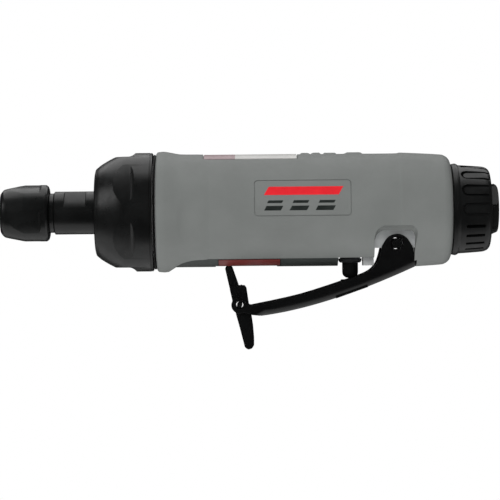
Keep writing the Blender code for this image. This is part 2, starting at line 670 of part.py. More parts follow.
def lever_cuts(name, piece, inner_half):
    """Window, notch and groove shared by the cover and the housing."""
    corner_z = WINDOW_TOP - WINDOW_CORNER
    outline = [
        (WINDOW_FRONT, -DEEP), (WINDOW_FRONT, corner_z),
        *arc((WINDOW_FRONT + WINDOW_CORNER, corner_z), WINDOW_CORNER, 180, 90, 4)[1:],
        *arc((WINDOW_REAR - WINDOW_CORNER, corner_z), WINDOW_CORNER, 90, 0, 4), (WINDOW_REAR, -DEEP)]
    for side in (-1, 1):
        middle = side * (DEEP + inner_half) / 2
        combine(piece, plate(f"{name}_window", outline, (DEEP - inner_half) / 2, None, middle=middle))
    notch = box(f"{name}_notch", (NOTCH_FRONT, -DEEP, -DEEP), (WINDOW_FRONT + 1, DEEP, UNDERSIDE_Z))
    combine(piece, notch)
    groove = box(f"{name}_groove", (GROOVE_FRONT, -GROOVE_HALF, -DEEP),
                 (GROOVE_REAR, GROOVE_HALF, GROOVE_TOP))
    combine(piece, groove)


def motor_housing(cast):
    housing = turned("motor_housing", [
        (SPACER_FRONT + 0.7, HOUSING_BORE_R), (SPACER_FRONT + 0.7, HOUSING_R),
        (STEP_X, HOUSING_R), (STEP_X, NECK_R), (COVER_REAR - GAP, NECK_R),
        (COVER_REAR - GAP, RECESS_R), (RECESS_FRONT, RECESS_R), (RECESS_FRONT, INLET_BOSS_R),
        (COVER_REAR - 0.9, INLET_BOSS_R), (COVER_REAR - 0.9, INLET_THREAD_R + GAP),
        (INLET_FRONT - GAP, INLET_THREAD_R + GAP), (INLET_FRONT - GAP, VALVE_BORE_R),
        (SEAT_FRONT - GAP, VALVE_BORE_R), (SEAT_FRONT - GAP, PASSAGE_R),
        (CHAMBER_REAR, PASSAGE_R), (CHAMBER_REAR, CHAMBER_R), (BORE_END, CHAMBER_R),
        (BORE_END, HOUSING_BORE_R)], cast, facets=36)
    ducts = []
    for side in (-1, 1):
        low, high = sorted((side * DUCT_IN, side * DUCT_OUT))
        ducts.append(box("duct", (MOTOR_FRONT + 6, low, -DUCT_HALF),
                         (RECESS_FRONT + 1.5, high, DUCT_HALF)))
    combine(housing, join_cutters("ducts", ducts))
    lever_cuts("housing", housing, BOSS_HALF)
    rib = box("valve_rib", (RIB_FRONT, -RIB_HALF, RIB_BOTTOM),
              (WINDOW_FRONT, RIB_HALF, UNDERSIDE_Z + 2))
    combine(housing, rib, "UNION")
    half_angle = math.degrees(math.asin((LEVER_PIVOT[1] - BOSS_BOTTOM) / LUG_R))
    below = plate("below_boss", [
        (WINDOW_FRONT, -DEEP), (WINDOW_FRONT, BOSS_BOTTOM),
        *arc(LEVER_PIVOT, LUG_R, 180 + half_angle, 360 - half_angle, 8),
        (WINDOW_REAR, BOSS_BOTTOM), (WINDOW_REAR, -DEEP)], BOSS_HALF + 1, None)
    combine(housing, below)
    x, z = LEVER_PIVOT
    combine(housing, rod("boss_pin_hole", [(x, -DEEP, z), (x, DEEP, z)], LEVER_PIN_R + GAP, None))
    wide = rod("bushing_hole", [(PLUNGER_X, 0, -DEEP), (PLUNGER_X, 0, SEAL_TOP + GAP)],
               BUSHING_R + GAP, None, 24)
    narrow = rod("stem_hole", [(PLUNGER_X, 0, -DEEP), (PLUNGER_X, 0, 0)],
                 PLUNGER_STEM_R + GAP, None, 16)
    combine(housing, wide)
    combine(housing, narrow)


def housing_cover(grey):
    swell = LEVER_PIVOT[0]             # the grip swells a little behind the lever pin
    cover = turned("housing_cover", [
        (COVER_FRONT, COVER_BORE_R), (COVER_FRONT, GRIP_R + 0.75), (COVER_FRONT + 0.5, GRIP_R + 1.15),
        (COVER_FRONT + 2.6, GRIP_R + 1.25), (COVER_FRONT + 4.8, GRIP_R + 0.85),
        (COVER_FRONT + 6.8, GRIP_R + 0.45), (COVER_FRONT + 8.8, GRIP_R + 0.3),
        (COVER_FRONT + 14.8, GRIP_R + 0.25), (COVER_FRONT + 17.2, GRIP_R),
        (swell - 0.2, GRIP_R), (swell + 1.5, GRIP_R + 0.22), (swell + 3.5, GRIP_R + 0.1),
        (COVER_REAR - 3.0, GRIP_R - 0.5), (COVER_REAR - 1.2, GRIP_R - 1.1),
        (COVER_REAR - 0.4, GRIP_R - 1.95), (COVER_REAR, NECK_R + GAP + 0.4),
        (COVER_REAR, NECK_R + GAP), (STEP_X + GAP, NECK_R + GAP),
        (STEP_X + GAP, COVER_BORE_R)], grey, facets=FINE)
    band = plate_down("underside_band", [
        *arc((BAND_FRONT + BAND_HALF * 0.8, 0), BAND_HALF, 270, 90, 8),
        (BAND_REAR, BAND_HALF), (BAND_REAR, -BAND_HALF)])
    core = rod("band_core", [(BAND_FRONT - 20, 0, 0), (BAND_REAR + 20, 0, 0)], BAND_R, None, FINE)
    combine(band, core)
    combine(cover, band)
    lever_cuts("cover", cover, 0.0)
    top_floor = GRIP_R + LABEL_PROUD - LABEL - GAP
    combine(cover, curved_block("top_label_recess", TOP_LABEL, (top_floor, GRIP_R + 4), GAP, None))
    lower_floor = BAND_R + LABEL_PROUD - LABEL - GAP
    combine(cover, curved_block("lower_label_recess", LOWER_LABEL, (lower_floor, GRIP_R + 4), GAP, None))


def plate_down(name, outline):
    """A cutter below the part: an (x, y) outline extruded along Z."""
    item = plate(name, outline, DEEP / 2, None)
    flip = Matrix.Rotation(-HALF_PI, 4, "X")
    item.matrix_world = Matrix.Translation((0, 0, -(DEEP / 2 + 8) * MM)) @ flip @ item.matrix_world
    return item


# ============================ throttle lever ==================================

NOSE_R = LOCK_PIN_R + 1.85             # lever's round front end
EAR_R = LEVER_PIN_R + 2.9              # lever's ears round the lever pin
LEVER_FRONT_SLOPE, LEVER_REAR_SLOPE = 0.12, 0.45


def lever_underside():
    """Outside of the lever's web, front to rear: one even curve between two slopes."""
    start = (LOCK_PIVOT[0] + 7.2, LOCK_PIVOT[1] - 3.65)
    end = (LEVER_PIVOT[0] + 6.1, LEVER_PIVOT[1] - 7.8)
    meet_x = (end[1] - start[1] + LEVER_FRONT_SLOPE * start[0] - LEVER_REAR_SLOPE * end[0]) / (
        LEVER_FRONT_SLOPE - LEVER_REAR_SLOPE)
    meet = (meet_x, start[1] + LEVER_FRONT_SLOPE * (meet_x - start[0]))
    points = []
    for step in range(8):
        share = step / 7
        weights = ((1 - share) ** 2, 2 * share * (1 - share), share ** 2)
        points.append(tuple(
            sum(weight * place[axis] for weight, place in zip(weights, (start, meet, end)))
            for axis in (0, 1)))
    return points


def lever_upper():
    """Upper edge of the lever's flanges, rear to front."""
    x, z = LEVER_PIVOT
    ear = arc((x + 0.1, z - 1.5), EAR_R, 35, 145, 6)
    shoulder = (x - 15.5, z - 11.5)
    front = (LOCK_PIVOT[0] + 3.6, LOCK_PIVOT[1] - 0.1)
    middle = ((shoulder[0] + front[0]) / 2, (shoulder[1] + front[1]) / 2 - 0.85)
    return [
        (x + 5.8, z - 3.5), (x + 5.1, z - 0.9), *ear, (x - 4.9, z - 0.9), (x - 5.5, z - 3.5),
        (x - 6.5, z - 6.2), (x - 8.2, z - 8.3), (x - 10.3, z - 9.6), (x - 12.9, z - 10.6),
        shoulder, middle, front]


def from_lock_pin(*points):
    """Points given from the lock pin, as places in the part."""
    return [(LOCK_PIVOT[0] + x, LOCK_PIVOT[1] + z) for x, z in points]


def height_on(points, x):
    """Height of a polyline that runs towards +X, at x."""
    for (x0, z0), (x1, z1) in zip(points, points[1:]):
        if x0 <= x <= x1:
            return z0 + (z1 - z0) * (x - x0) / (x1 - x0)
    return points[-1][1]


def shifted(points, distance):
    """Move a polyline to its left by a distance, keeping its stretches parallel."""
    moved = []
    for index, point in enumerate(points):
        before = points[max(index - 1, 0)]
        after = points[min(index + 1, len(points) - 1)]
        direction = Vector((after[0] - before[0], after[1] - before[1])).normalized()
        moved.append((point[0] - direction.y * distance, point[1] + direction.x * distance))
    return moved


def throttle_lever(black, steel):
    below = lever_underside()
    nose = arc(LOCK_PIVOT, NOSE_R, 110, 305, 8)
    front_end = (LOCK_PIVOT[0] + 4.0, LOCK_PIVOT[1] - 3.3)

    def is_below(x, z):
        return any(abs(x - a) < 0.05 and abs(z - b) < 0.05 for a, b in below)

    lever = plate("throttle_lever", [*lever_upper(), *nose, front_end, *below], LEVER_HALF_WIDTH,
                  black, round_below=is_below, round_r=2 * LEVER_SHEET)
    for name, pivot, radius in (("lever", LEVER_PIVOT, LEVER_PIN_R), ("lock", LOCK_PIVOT, LOCK_PIN_R)):
        ends = [(pivot[0], -DEEP, pivot[1]), (pivot[0], DEEP, pivot[1])]
        combine(lever, rod(f"{name}_pin_hole", ends, radius + GAP, None, 16))
    channel = shifted(below, LEVER_SHEET)
    inside = LEVER_HALF_WIDTH - LEVER_SHEET
    front_x, rear_x = LOCK_PIVOT[0] - 6, LEVER_PIVOT[0] + 12
    cut = plate("lever_channel", [
        (front_x, LOCK_PIVOT[1] - 9), (channel[0][0], LOCK_PIVOT[1] - 9), *channel,
        (rear_x, channel[-1][1] + 2.5), (rear_x, 0.0), (front_x, 0.0)], inside, None)
    combine(lever, cut)
    pad_top = PLUNGER_BOTTOM - GAP - 0.2
    pad_front, pad_rear = PLUNGER_X - 3.1, PLUNGER_X + 4.9
    pad = plate("lever_pad", [
        (pad_front, height_on(below, pad_front) + 0.6), (pad_rear, height_on(below, pad_rear) + 0.6),
        (pad_rear, pad_top), (pad_front, pad_top)], inside - 1.6, None)
    combine(lever, pad, "UNION")
    boss_front, boss_rear = PLUNGER_X - 5.0, PLUNGER_X + 5.8
    boss_low, boss_high = height_on(below, boss_front), height_on(below, boss_rear)
    boss = plate("lever_boss", [
        (boss_front, boss_low - 0.12), (boss_rear, boss_high - 0.12),
        (boss_rear - 0.8, boss_high + 0.8), (boss_front + 0.8, boss_low + 1.5)], inside + 0.5, None)
    combine(lever, boss, "UNION")
    set_origin(lever, LEVER_PIVOT)

    reach = LEVER_HALF_WIDTH + 0.3
    for name, (x, z), radius in (("lever_pin", LEVER_PIVOT, LEVER_PIN_R),
                                 ("lock_pin", LOCK_PIVOT, LOCK_PIN_R)):
        rod(name, [(x, -reach, z), (x, reach, z)], radius, steel)


def set_origin(item, pivot):
    """Move a piece's origin onto its joint's axis without moving the piece."""
    target = Matrix.Translation((pivot[0] * MM, 0, pivot[1] * MM))
    item.data.transform(target.inverted() @ item.matrix_world)
    item.matrix_world = target


# ============================ lock lever ======================================

LOCK_HALF = 4.2
LOCK_SHEET = 1.3
BAR_HALF = 2.6
SPRING_HALF = 1.05          # half the length of the spring's coil


def lock_lever(black, steel):
    latch = plate("lock_lever", from_lock_pin(
        (-3.55, 6.5), (1.7, 6.5), (2.3, 5.7), (3.1, 0.1), (3.8, -2.7), (4.4, -6.9), (4.7, -10.9),
        (4.7, -13.3), (4.0, -14.5), (2.7, -14.9), (1.6, -14.1), (0.0, -7.7), (-1.4, -2.5),
        (-2.0, -0.4)), LOCK_HALF, black)
    bar = plate("lock_bar", from_lock_pin(
        (-4.75, 12.1), (-4.4, 12.9), (-3.6, 13.2), (-2.8, 13.15), (-2.3, 12.6), (-0.4, 7.1),
        (-0.2, 6.1), (-3.2, 5.1)), BAR_HALF, None)
    inside = LOCK_HALF - LOCK_SHEET
    inner = plate("lock_channel", from_lock_pin(
        (-2.25, 6.1), (6.6, 6.1), (6.6, -13.5), (3.0, -13.5), (1.3, -7.7), (0.0, -2.7),
        (-5.4, -2.7), (-5.4, 2.7), (-1.6, 2.7)), inside, None)
    opening = plate("lock_top_opening", from_lock_pin(
        (0.1, 7.1), (6.6, 7.1), (6.6, 5.1), (0.1, 5.1)), inside, None)
    combine(latch, inner)
    combine(latch, bar, "UNION")
    combine(latch, opening)
    x, z = LOCK_PIVOT
    combine(latch, rod("lock_hole", [(x, -DEEP, z), (x, DEEP, z)], LOCK_PIN_R + GAP, None))
    set_origin(latch, LOCK_PIVOT)

    points = [(x + 0.7, -SPRING_HALF, z + 6.7), (x - 0.8, -SPRING_HALF, z + 2.5)]
    coil_r = LOCK_PIN_R + 0.75
    first, last, steps = 160, 270 + 3 * 360, 27
    for step in range(steps + 1):
        angle = math.radians(first + (last - first) * step / steps)
        y = SPRING_HALF * (2 * step / steps - 1)
        points.append((x + coil_r * math.cos(angle), y, z + coil_r * math.sin(angle)))
    points.append((x + 6.2, SPRING_HALF, z - coil_r))
    wire("lock_spring", points, 0.25, steel)


# ============================ rear end ========================================

FLUTES = 8
FLUTE_PITCH = 26.0
FLUTE_START = -1.0
FLUTE_HALF = 2.1
FLUTE_FLOOR_R = KNOB_R - 1.6
VENTS = 5
VENT_PITCH = 14.0


def exhaust_deflector(black, felt):
    front, rear = KNOB_FRONT, KNOB_REAR
    hub_r = INLET_SHOULDER_R
    rear_hole_r = HEX_CORNER_R + 1.0
    knob = turned("exhaust_deflector", [
        (front, hub_r + 1.4), (front, KNOB_R + 0.4), (front + 1.4, KNOB_R + 0.6),
        (front + 2.2, KNOB_R), (rear - 1.7, KNOB_R - 0.7), (rear - 0.6, KNOB_R - 1.3),
        (rear, KNOB_R - 2.6), (rear, rear_hole_r), (rear - 1.6, rear_hole_r),
        (rear - 1.6, KNOB_R - 3.0), (front + 3.0, KNOB_R - 2.4), (front + 3.0, hub_r),
        (front + 1.4, hub_r), (front + 1.4, hub_r + 1.4)], black, facets=FINE)
    flute_front = front + 2.7
    for index in range(FLUTES):
        degrees = FLUTE_START + FLUTE_PITCH * index
        outline = [
            (rear + 2, FLUTE_HALF), *arc((flute_front + FLUTE_HALF, 0), FLUTE_HALF, 90, 270, 4),
            (rear + 2, -FLUTE_HALF)]
        flute = plate(f"flute_{index}", outline, 2.0, None, middle=-(FLUTE_FLOOR_R + 2.0))
        turn = Matrix.Rotation(math.radians(-degrees), 4, "X")
        flute.matrix_world = turn @ flute.matrix_world
        combine(knob, flute)
    hole_circle = (COLLAR_R + KNOB_R - 2.7) / 2
    holes = [rod("exhaust_hole", [(front - 1, y, z), (front + 4, y, z)], 0.9, None, 10)
             for _, y, z in around(8, hole_circle, start=22.5)]
    combine(knob, join_cutters("exhaust_holes", holes))
    vents = []
    for side in (-1, 1):
        for index in range(VENTS):
            degrees = 24.0 + VENT_PITCH * index
            vent = box("vent", (front + 4.2, -KNOB_R - 3, -0.6), (rear - 2.4, -KNOB_R + 4.2, 0.6))
            turn = Matrix.Rotation(math.radians(degrees), 4, "X")
            if side > 0:
                turn = Matrix.Scale(-1, 4, (0, 1, 0)) @ turn
            vent.data.transform(turn @ place_of(vent))
            vent.location = (0, 0, 0)
            if side > 0:
                vent.data.flip_normals()
            vents.append(vent)
    combine(knob, join_cutters("vents", vents))

    turned("muffler_felt", [
        (RECESS_FRONT + GAP, INLET_BOSS_R + GAP), (RECESS_FRONT + GAP, RECESS_R - GAP),
        (COVER_REAR - 1.2, RECESS_R - GAP), (COVER_REAR - 1.2, INLET_BOSS_R + GAP)], felt)


# ============================ labels ==========================================

LABEL = 0.3
LABEL_PROUD = 0.1          # how far a label stands above the surface it is stuck to
# x from, x to, half angle, middle angle
TOP_LABEL = (COVER_FRONT + 15.8, COVER_FRONT + 46.5, 24.0, 90.0)
LOWER_LABEL = (GROOVE_FRONT + 1.1, GROOVE_FRONT + 21.4, 8.2, -69.2)


def curved_block(name, place, radii, margin, finish):
    """Part of a turned ring, kept between two angles. margin widens it all round."""
    front, rear, half_degrees, middle_degrees = place
    front, rear = front - margin, rear + margin
    half_degrees += math.degrees(margin / radii[0])
    ring = turned(name, [
        (front, radii[0]), (front, radii[1]), (rear, radii[1]), (rear, radii[0])], finish, facets=96)
    reach = radii[1] + 6
    half_width = reach * math.tan(math.radians(half_degrees))
    wedge = plate(name + "_wedge", [
        (front - 1, 0), (rear + 1, 0), (rear + 1, reach), (front - 1, reach)], half_width, None)
    taper_to_axis(wedge, reach)
    wedge.matrix_world = Matrix.Rotation(math.radians(90 - middle_degrees), 4, "X") @ wedge.matrix_world
    combine(ring, wedge, "INTERSECT")
    return ring


def taper_to_axis(item, reach):
    """Narrow a plate to a thin edge at the spindle axis, so that it makes a wedge."""
    for vert in item.data.vertices:
        vert.co.z *= max(vert.co.y / (reach * MM), 0.001)


def build():
    clear_scene()
    black = material("black_oxide_steel", (0.012, 0.012, 0.013), 0.32, 0.9)
    steel = material("ground_steel", (0.32, 0.32, 0.33), 0.3, 1.0)
    lever_black = material("black_painted_steel", (0.01, 0.01, 0.011), 0.3, 0.3)
    grey = material("grey_composite", (0.165, 0.17, 0.168), 0.55, 0.0)
    cast = material("cast_aluminium", (0.6, 0.6, 0.61), 0.4, 1.0)
    plastic = material("black_plastic", (0.014, 0.014, 0.015), 0.4, 0.0)
    rubber = material("black_rubber", (0.01, 0.01, 0.01), 0.7, 0.0)
    brass = material("brass", (0.6, 0.42, 0.16), 0.3, 1.0)
    phenolic = material("brown_phenolic", (0.16, 0.07, 0.03), 0.6, 0.0)
    paper = material("gasket_paper", (0.3, 0.24, 0.15), 0.9, 0.0)
    felt = material("grey_felt", (0.35, 0.35, 0.33), 1.0, 0.0)
    white = material("label_white", (0.75, 0.75, 0.73), 0.4, 0.0)
    red = material("label_red", (0.5, 0.06, 0.06), 0.4, 0.0)

    collet_group(black, steel)
    clamp_nut(black, rubber)
    air_motor(steel, cast, phenolic, paper, brass)
    valve_group(steel, brass, rubber, black)
    inlet_group(black, steel, rubber)
    motor_housing(cast)
    housing_cover(grey)
    throttle_lever(lever_black, steel)
    lock_lever(lever_black, steel)
    exhaust_deflector(plastic, felt)
    top_r = GRIP_R + LABEL_PROUD
    curved_block("top_label", TOP_LABEL, (top_r - LABEL, top_r), 0.0, white)
    lower_r = BAND_R + LABEL_PROUD
    curved_block("underside_label", LOWER_LABEL, (lower_r - LABEL, lower_r), 0.0, red)


build()
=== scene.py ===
"""Looks of a pneumatic straight die grinder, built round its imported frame.

The spindle lies along X, collet at -X and air inlet at +X, and Z is up. Sizes here are in
millimetres and become metres in the helpers. Places are read from the frame's nodes.
"""

import math

import bmesh
import bpy
from mathutils import Matrix, Vector


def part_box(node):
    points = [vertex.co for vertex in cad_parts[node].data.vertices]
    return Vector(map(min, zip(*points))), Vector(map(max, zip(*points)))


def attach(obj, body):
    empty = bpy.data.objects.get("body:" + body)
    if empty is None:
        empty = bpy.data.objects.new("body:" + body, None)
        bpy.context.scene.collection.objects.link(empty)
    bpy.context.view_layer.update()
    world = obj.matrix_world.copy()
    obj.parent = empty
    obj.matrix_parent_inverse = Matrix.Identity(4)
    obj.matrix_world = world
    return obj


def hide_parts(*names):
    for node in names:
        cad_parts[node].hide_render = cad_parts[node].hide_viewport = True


MM = 0.001
MERGE = 0.000002           # vertices closer than this are one
DEEP = 30.0                # reach of a cutter beyond the part
ROUND = 160                # facets round a turned piece
CREASE = 32.0              # sharper edges than this many degrees stay sharp
WIRE_SIDES = 12            # facets round a wire

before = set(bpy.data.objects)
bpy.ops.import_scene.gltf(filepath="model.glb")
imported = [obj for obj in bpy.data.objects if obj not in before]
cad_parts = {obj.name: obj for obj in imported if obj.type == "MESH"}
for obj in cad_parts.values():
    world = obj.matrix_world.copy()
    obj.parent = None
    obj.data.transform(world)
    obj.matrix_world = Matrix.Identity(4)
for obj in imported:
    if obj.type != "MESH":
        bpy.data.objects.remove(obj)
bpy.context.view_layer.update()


# ============================ places from the frame ===========================

def span(node):
    """Lowest and highest corner of a node, in millimetres."""
    low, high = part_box(node)
    return [value / MM for value in low], [value / MM for value in high]


def middle(node):
    """A node's middle, as (x, z)."""
    low, high = span(node)
    return (low[0] + high[0]) / 2, (low[2] + high[2]) / 2


def reach(node):
    """Radius of a node turned about the spindle."""
    low, high = span(node)
    return max(-low[1], high[1])


NUT_FRONT, NUT_REAR = span("collet_nut")[0][0], span("collet_nut")[1][0]
CAP_FRONT, CAP_REAR = span("clamp_nut")[0][0], span("clamp_nut")[1][0]
COVER_FRONT, COVER_REAR = span("housing_cover")[0][0], span("housing_cover")[1][0]
KNOB_FRONT, KNOB_REAR = span("exhaust_deflector")[0][0], span("exhaust_deflector")[1][0]
INLET_FRONT, INLET_END = span("inlet_bushing")[0][0], span("inlet_bushing")[1][0]
BODY_FRONT, BODY_REAR = span("collet_body")[0][0], span("collet_body")[1][0]
COLLET_FRONT, COLLET_REAR = span("collet")[0][0], span("collet")[1][0]
LEVER_X, LEVER_Z = middle("lever_pin")
LOCK_X, LOCK_Z = middle("lock_pin")
PLUNGER_X = middle("valve_plunger")[0]
PLUNGER_BOTTOM, PLUNGER_TOP = span("valve_plunger")[0][2], span("valve_plunger")[1][2]

FLARE = 1.25               # cover's front lip outside the grip
GRIP_R = reach("housing_cover") - FLARE
CAP_R = reach("clamp_nut")
CAP_BORE_R = GRIP_R - 2.25
NUT_R = 9.4
SPINDLE_R = 7.15
THREAD_R = SPINDLE_R - 0.95
SHANK_R = 3.175
KNOB_R = reach("exhaust_deflector") - 0.6
HEX = 7.55                 # axis to each flat of the inlet hexagon
PLUNGER_R = 2.65
LEVER_HALF = span("throttle_lever")[1][1]
UNDERSIDE_Z = 3.15 - GRIP_R
BAND_R = GRIP_R - 0.4


# ============================ mesh helpers ====================================

def shade(item):
    """Smooth shading that keeps the real edges."""
    item.data.shade_smooth()
    item.data.set_sharp_from_angle(angle=math.radians(CREASE))
    return item


def to_object(name, builder, *finishes):
    """A mesh in place, its doubles merged and its faces pointing out."""
    bmesh.ops.remove_doubles(builder, verts=builder.verts, dist=MERGE)
    bmesh.ops.recalc_face_normals(builder, faces=builder.faces)
    mesh = bpy.data.meshes.new(name)
    builder.to_mesh(mesh)
    builder.free()
    for finish in finishes:
        mesh.materials.append(finish)
    item = bpy.data.objects.new(name, mesh)
    bpy.context.scene.collection.objects.link(item)
    return shade(item)


def evaluated_mesh(item):
    """The item's mesh with its modifiers applied."""
    bpy.context.view_layer.update()
    graph = bpy.context.evaluated_depsgraph_get()
    return bpy.data.meshes.new_from_object(item.evaluated_get(graph))


def carve(item, cutter, operation="DIFFERENCE"):
    """Cut one piece with another, or join it to another, and remove the other."""
    modifier = item.modifiers.new("carve", "BOOLEAN")
    modifier.operation = operation
    modifier.solver = "MANIFOLD"
    modifier.object = cutter
    finishes = list(item.data.materials)
    mesh = evaluated_mesh(item)
    item.modifiers.clear()
    item.data = mesh
    # The cut faces take the piece's own first finish.
    for face in mesh.polygons:
        if face.material_index >= len(finishes):
            face.material_index = 0
    while len(mesh.materials) > len(finishes):
        mesh.materials.pop()
    bpy.data.objects.remove(cutter, do_unlink=True)
    return shade(item)


def turned(name, outline, finish=None, facets=ROUND):
    """Turn a closed outline of (x, r) points about the spindle axis."""
    builder = bmesh.new()
    rings = []
    for x, r in outline:
        rings.append([
            builder.verts.new((x * MM, r * MM * math.cos(math.tau * step / facets),
                               r * MM * math.sin(math.tau * step / facets)))
            for step in range(facets)])
    for index, ring in enumerate(rings):
        before = rings[index - 1]
        if outline[index][1] == 0 and outline[index - 1][1] == 0:
            continue
        for step in range(facets):
            after = (step + 1) % facets
            builder.faces.new((ring[step], ring[after], before[after], before[step]))
    return to_object(name, builder, *[finish] if finish else [])


def rod(name, start, end, radius, facets):
    """A plain round cutter along the spindle axis."""
    return turned(name, [(start, 0), (start, radius), (end, radius), (end, 0)], facets=facets)


def upright(item, x):
    """Stand a piece turned about X on a vertical axis at x instead: its X becomes Z."""
    turn = Matrix.Rotation(-math.pi / 2, 4, "Y")
    item.data.transform(Matrix.Translation((x * MM, 0, 0)) @ turn)
    return item


def crosswise(item, x, z):
    """Lay a piece turned about X along Y, through a point in the middle plane."""
    turn = Matrix.Rotation(math.pi / 2, 4, "Z")
    item.data.transform(Matrix.Translation((x * MM, 0, z * MM)) @ turn)
    return item


def plate(name, outline, half_width, finish=None, at=0.0, edge=0.0, bend=None, bend_r=0.0):
    """Extrude an (x, z) outline along Y about the plane y = at.

    bend(x, z) picks the outline points whose long edges get the large radius bend_r;
    the other sharp edges get the small radius edge.
    """
    builder = bmesh.new()
    low = (at - half_width) * MM
    face = builder.faces.new([builder.verts.new((x * MM, low, z * MM)) for x, z in outline])
    moved = bmesh.ops.extrude_face_region(builder, geom=[face])["geom"]
    verts = [part for part in moved if isinstance(part, bmesh.types.BMVert)]
    bmesh.ops.translate(builder, verts=verts, vec=(0, 2 * half_width * MM, 0))
    bmesh.ops.recalc_face_normals(builder, faces=builder.faces)
    if bend:
        chosen = [
            line for line in builder.edges
            if abs(line.verts[0].co.y - line.verts[1].co.y) < MERGE
            and all(bend(vert.co.x / MM, vert.co.z / MM) for vert in line.verts)]
        bmesh.ops.bevel(builder, geom=chosen, offset=bend_r * MM, offset_type="OFFSET",
                        segments=8, profile=0.5, affect="EDGES")
    if edge:
        sharp = [line for line in builder.edges
                 if line.is_manifold and line.calc_face_angle() > math.radians(40)]
        bmesh.ops.bevel(builder, geom=sharp, offset=edge * MM, offset_type="OFFSET",
                        segments=3, profile=0.5, affect="EDGES", clamp_overlap=True)
    return to_object(name, builder, *[finish] if finish else [])


def block(name, low, high):
    """A box cutter between two corners."""
    return plate(name, [(low[0], low[2]), (high[0], low[2]), (high[0], high[2]), (low[0], high[2])],
                 (high[1] - low[1]) / 2, at=(high[1] + low[1]) / 2)


def arc(center, radius, start, end, count):
    """Points on an arc; angles in degrees from +X towards +Z."""
    return [(center[0] + radius * math.cos(math.radians(start + (end - start) * step / count)),
             center[1] + radius * math.sin(math.radians(start + (end - start) * step / count)))
            for step in range(count + 1)]


def smooth(points, steps=6):
    """An even curve through an open row of points."""
    ends = [points[0], *points, points[-1]]
    curve = []
    for a, b, c, d in zip(ends, ends[1:], ends[2:], ends[3:]):
        for step in range(steps):
            t = step / steps
            curve.append(tuple(
                0.5 * (2 * q + (r - p) * t + (2 * p - 5 * q + 4 * r - s) * t * t
                       + (3 * q - p - 3 * r + s) * t ** 3)
                for p, q, r, s in zip(a, b, c, d)))
    return [*curve, points[-1]]


def filleted(outline, radius, steps=4):
    """Round every corner of a closed outline, within a third of its sides."""
    rounded = []
    for before, corner, after in zip(outline[-1:] + outline[:-1], outline, outline[1:] + outline[:1]):
        corner = Vector(corner)
        back, on = Vector(before) - corner, Vector(after) - corner
        turn = math.pi - back.angle(on)
        cut = min(radius * math.tan(turn / 2), back.length / 3, on.length / 3)
        if turn < math.radians(3):
            rounded.append(tuple(corner))
            continue
        start, end = corner + back.normalized() * cut, corner + on.normalized() * cut
        for step in range(steps + 1):
            t = step / steps
            rounded.append(tuple(start * (1 - t) ** 2 + corner * 2 * t * (1 - t) + end * t * t))
    return rounded


def rounded_box(left, right, low, high, radius, steps=6, along=1):
    """Outline of a rounded rectangle, with its upright sides divided for a curved wall."""
    corners = ((right - radius, low + radius, -90), (right - radius, high - radius, 0),
               (left + radius, high - radius, 90), (left + radius, low + radius, 180))
    points = []
    for index, (x, z, start) in enumerate(corners):
        points += arc((x, z), radius, start, start + 90, steps)
        if index % 2 == 0 and along > 1:
            here, there = points[-1], (points[-1][0], corners[(index + 1) % 4][1])
            points += [(here[0], here[1] + (there[1] - here[1]) * step / along)
                       for step in range(1, along)]
    return points


def on_grip(x, offset, radius, side=-1, centre=0.0):
    """A point at a radius, at an arc offset upwards from a centre angle on one side."""
    angle = math.radians(centre) + offset / GRIP_R
    return Vector((x, side * radius * math.cos(angle), radius * math.sin(angle))) * MM


def groove(name, outer, inner, floor_r, side=-1, centre=0.0):
    """Cutter for a line engraved in the grip, between two outlines of (x, arc offset)."""
    builder = bmesh.new()
    loops = [[builder.verts.new(on_grip(x, offset, radius, side, centre)) for x, offset in outline]
             for outline, radius in ((outer, floor_r), (inner, floor_r),
                                     (inner, GRIP_R + 2), (outer, GRIP_R + 2))]
    count = len(outer)
    for first, second in zip(loops, loops[1:] + loops[:1]):
        for index in range(count):
            after = (index + 1) % count
            builder.faces.new((first[index], first[after], second[after], second[index]))
    return to_object(name, builder)


def skin(name, rows, radius, thickness, finish, side=-1, centre=0.0, columns=24):
    """A thin printed or stuck patch on a round wall: rows are (arc offset, left x, right x)."""
    builder = bmesh.new()
    layers = []
    for level in (radius, radius + thickness):
        layers.append([[builder.verts.new(on_grip(left + (right - left) * step / columns, offset,
                                                  level, side, centre))
                        for step in range(columns + 1)] for offset, left, right in rows])
    lower, upper = layers
    last = len(rows) - 1
    for row in range(last):
        for step in range(columns):
            for layer in layers:
                builder.faces.new((layer[row][step], layer[row][step + 1],
                                   layer[row + 1][step + 1], layer[row + 1][step]))
        for step in (0, columns):
            builder.faces.new((lower[row][step], lower[row + 1][step],
                               upper[row + 1][step], upper[row][step]))
    for row in (0, last):
        for step in range(columns):
            builder.faces.new((lower[row][step], lower[row][step + 1],
                               upper[row][step + 1], upper[row][step]))
    return to_object(name, builder, finish)


# ============================ geometry nodes ==================================

def add(tree, kind, values=None, links=None, **settings):
    """Add a node with its settings, socket values and incoming links."""
    item = tree.nodes.new(kind)
    for key, value in settings.items():
        setattr(item, key, value)
    for key, value in (values or {}).items():
        item.inputs[key].default_value = value
    for key, source in (links or {}).items():
        tree.links.new(source, item.inputs[key])
    return item


def new_tree(name, **inputs):
    """A geometry tree with a mesh in, named inputs for its sizes, and a mesh out."""
    tree = bpy.data.node_groups.new(name, "GeometryNodeTree")
    tree.interface.new_socket("Geometry", in_out="INPUT", socket_type="NodeSocketGeometry")
    for label, kind in inputs.items():
        tree.interface.new_socket(label, in_out="INPUT", socket_type="NodeSocket" + kind)
    tree.interface.new_socket("Geometry", in_out="OUTPUT", socket_type="NodeSocketGeometry")
    return tree, tree.nodes.new("NodeGroupInput").outputs


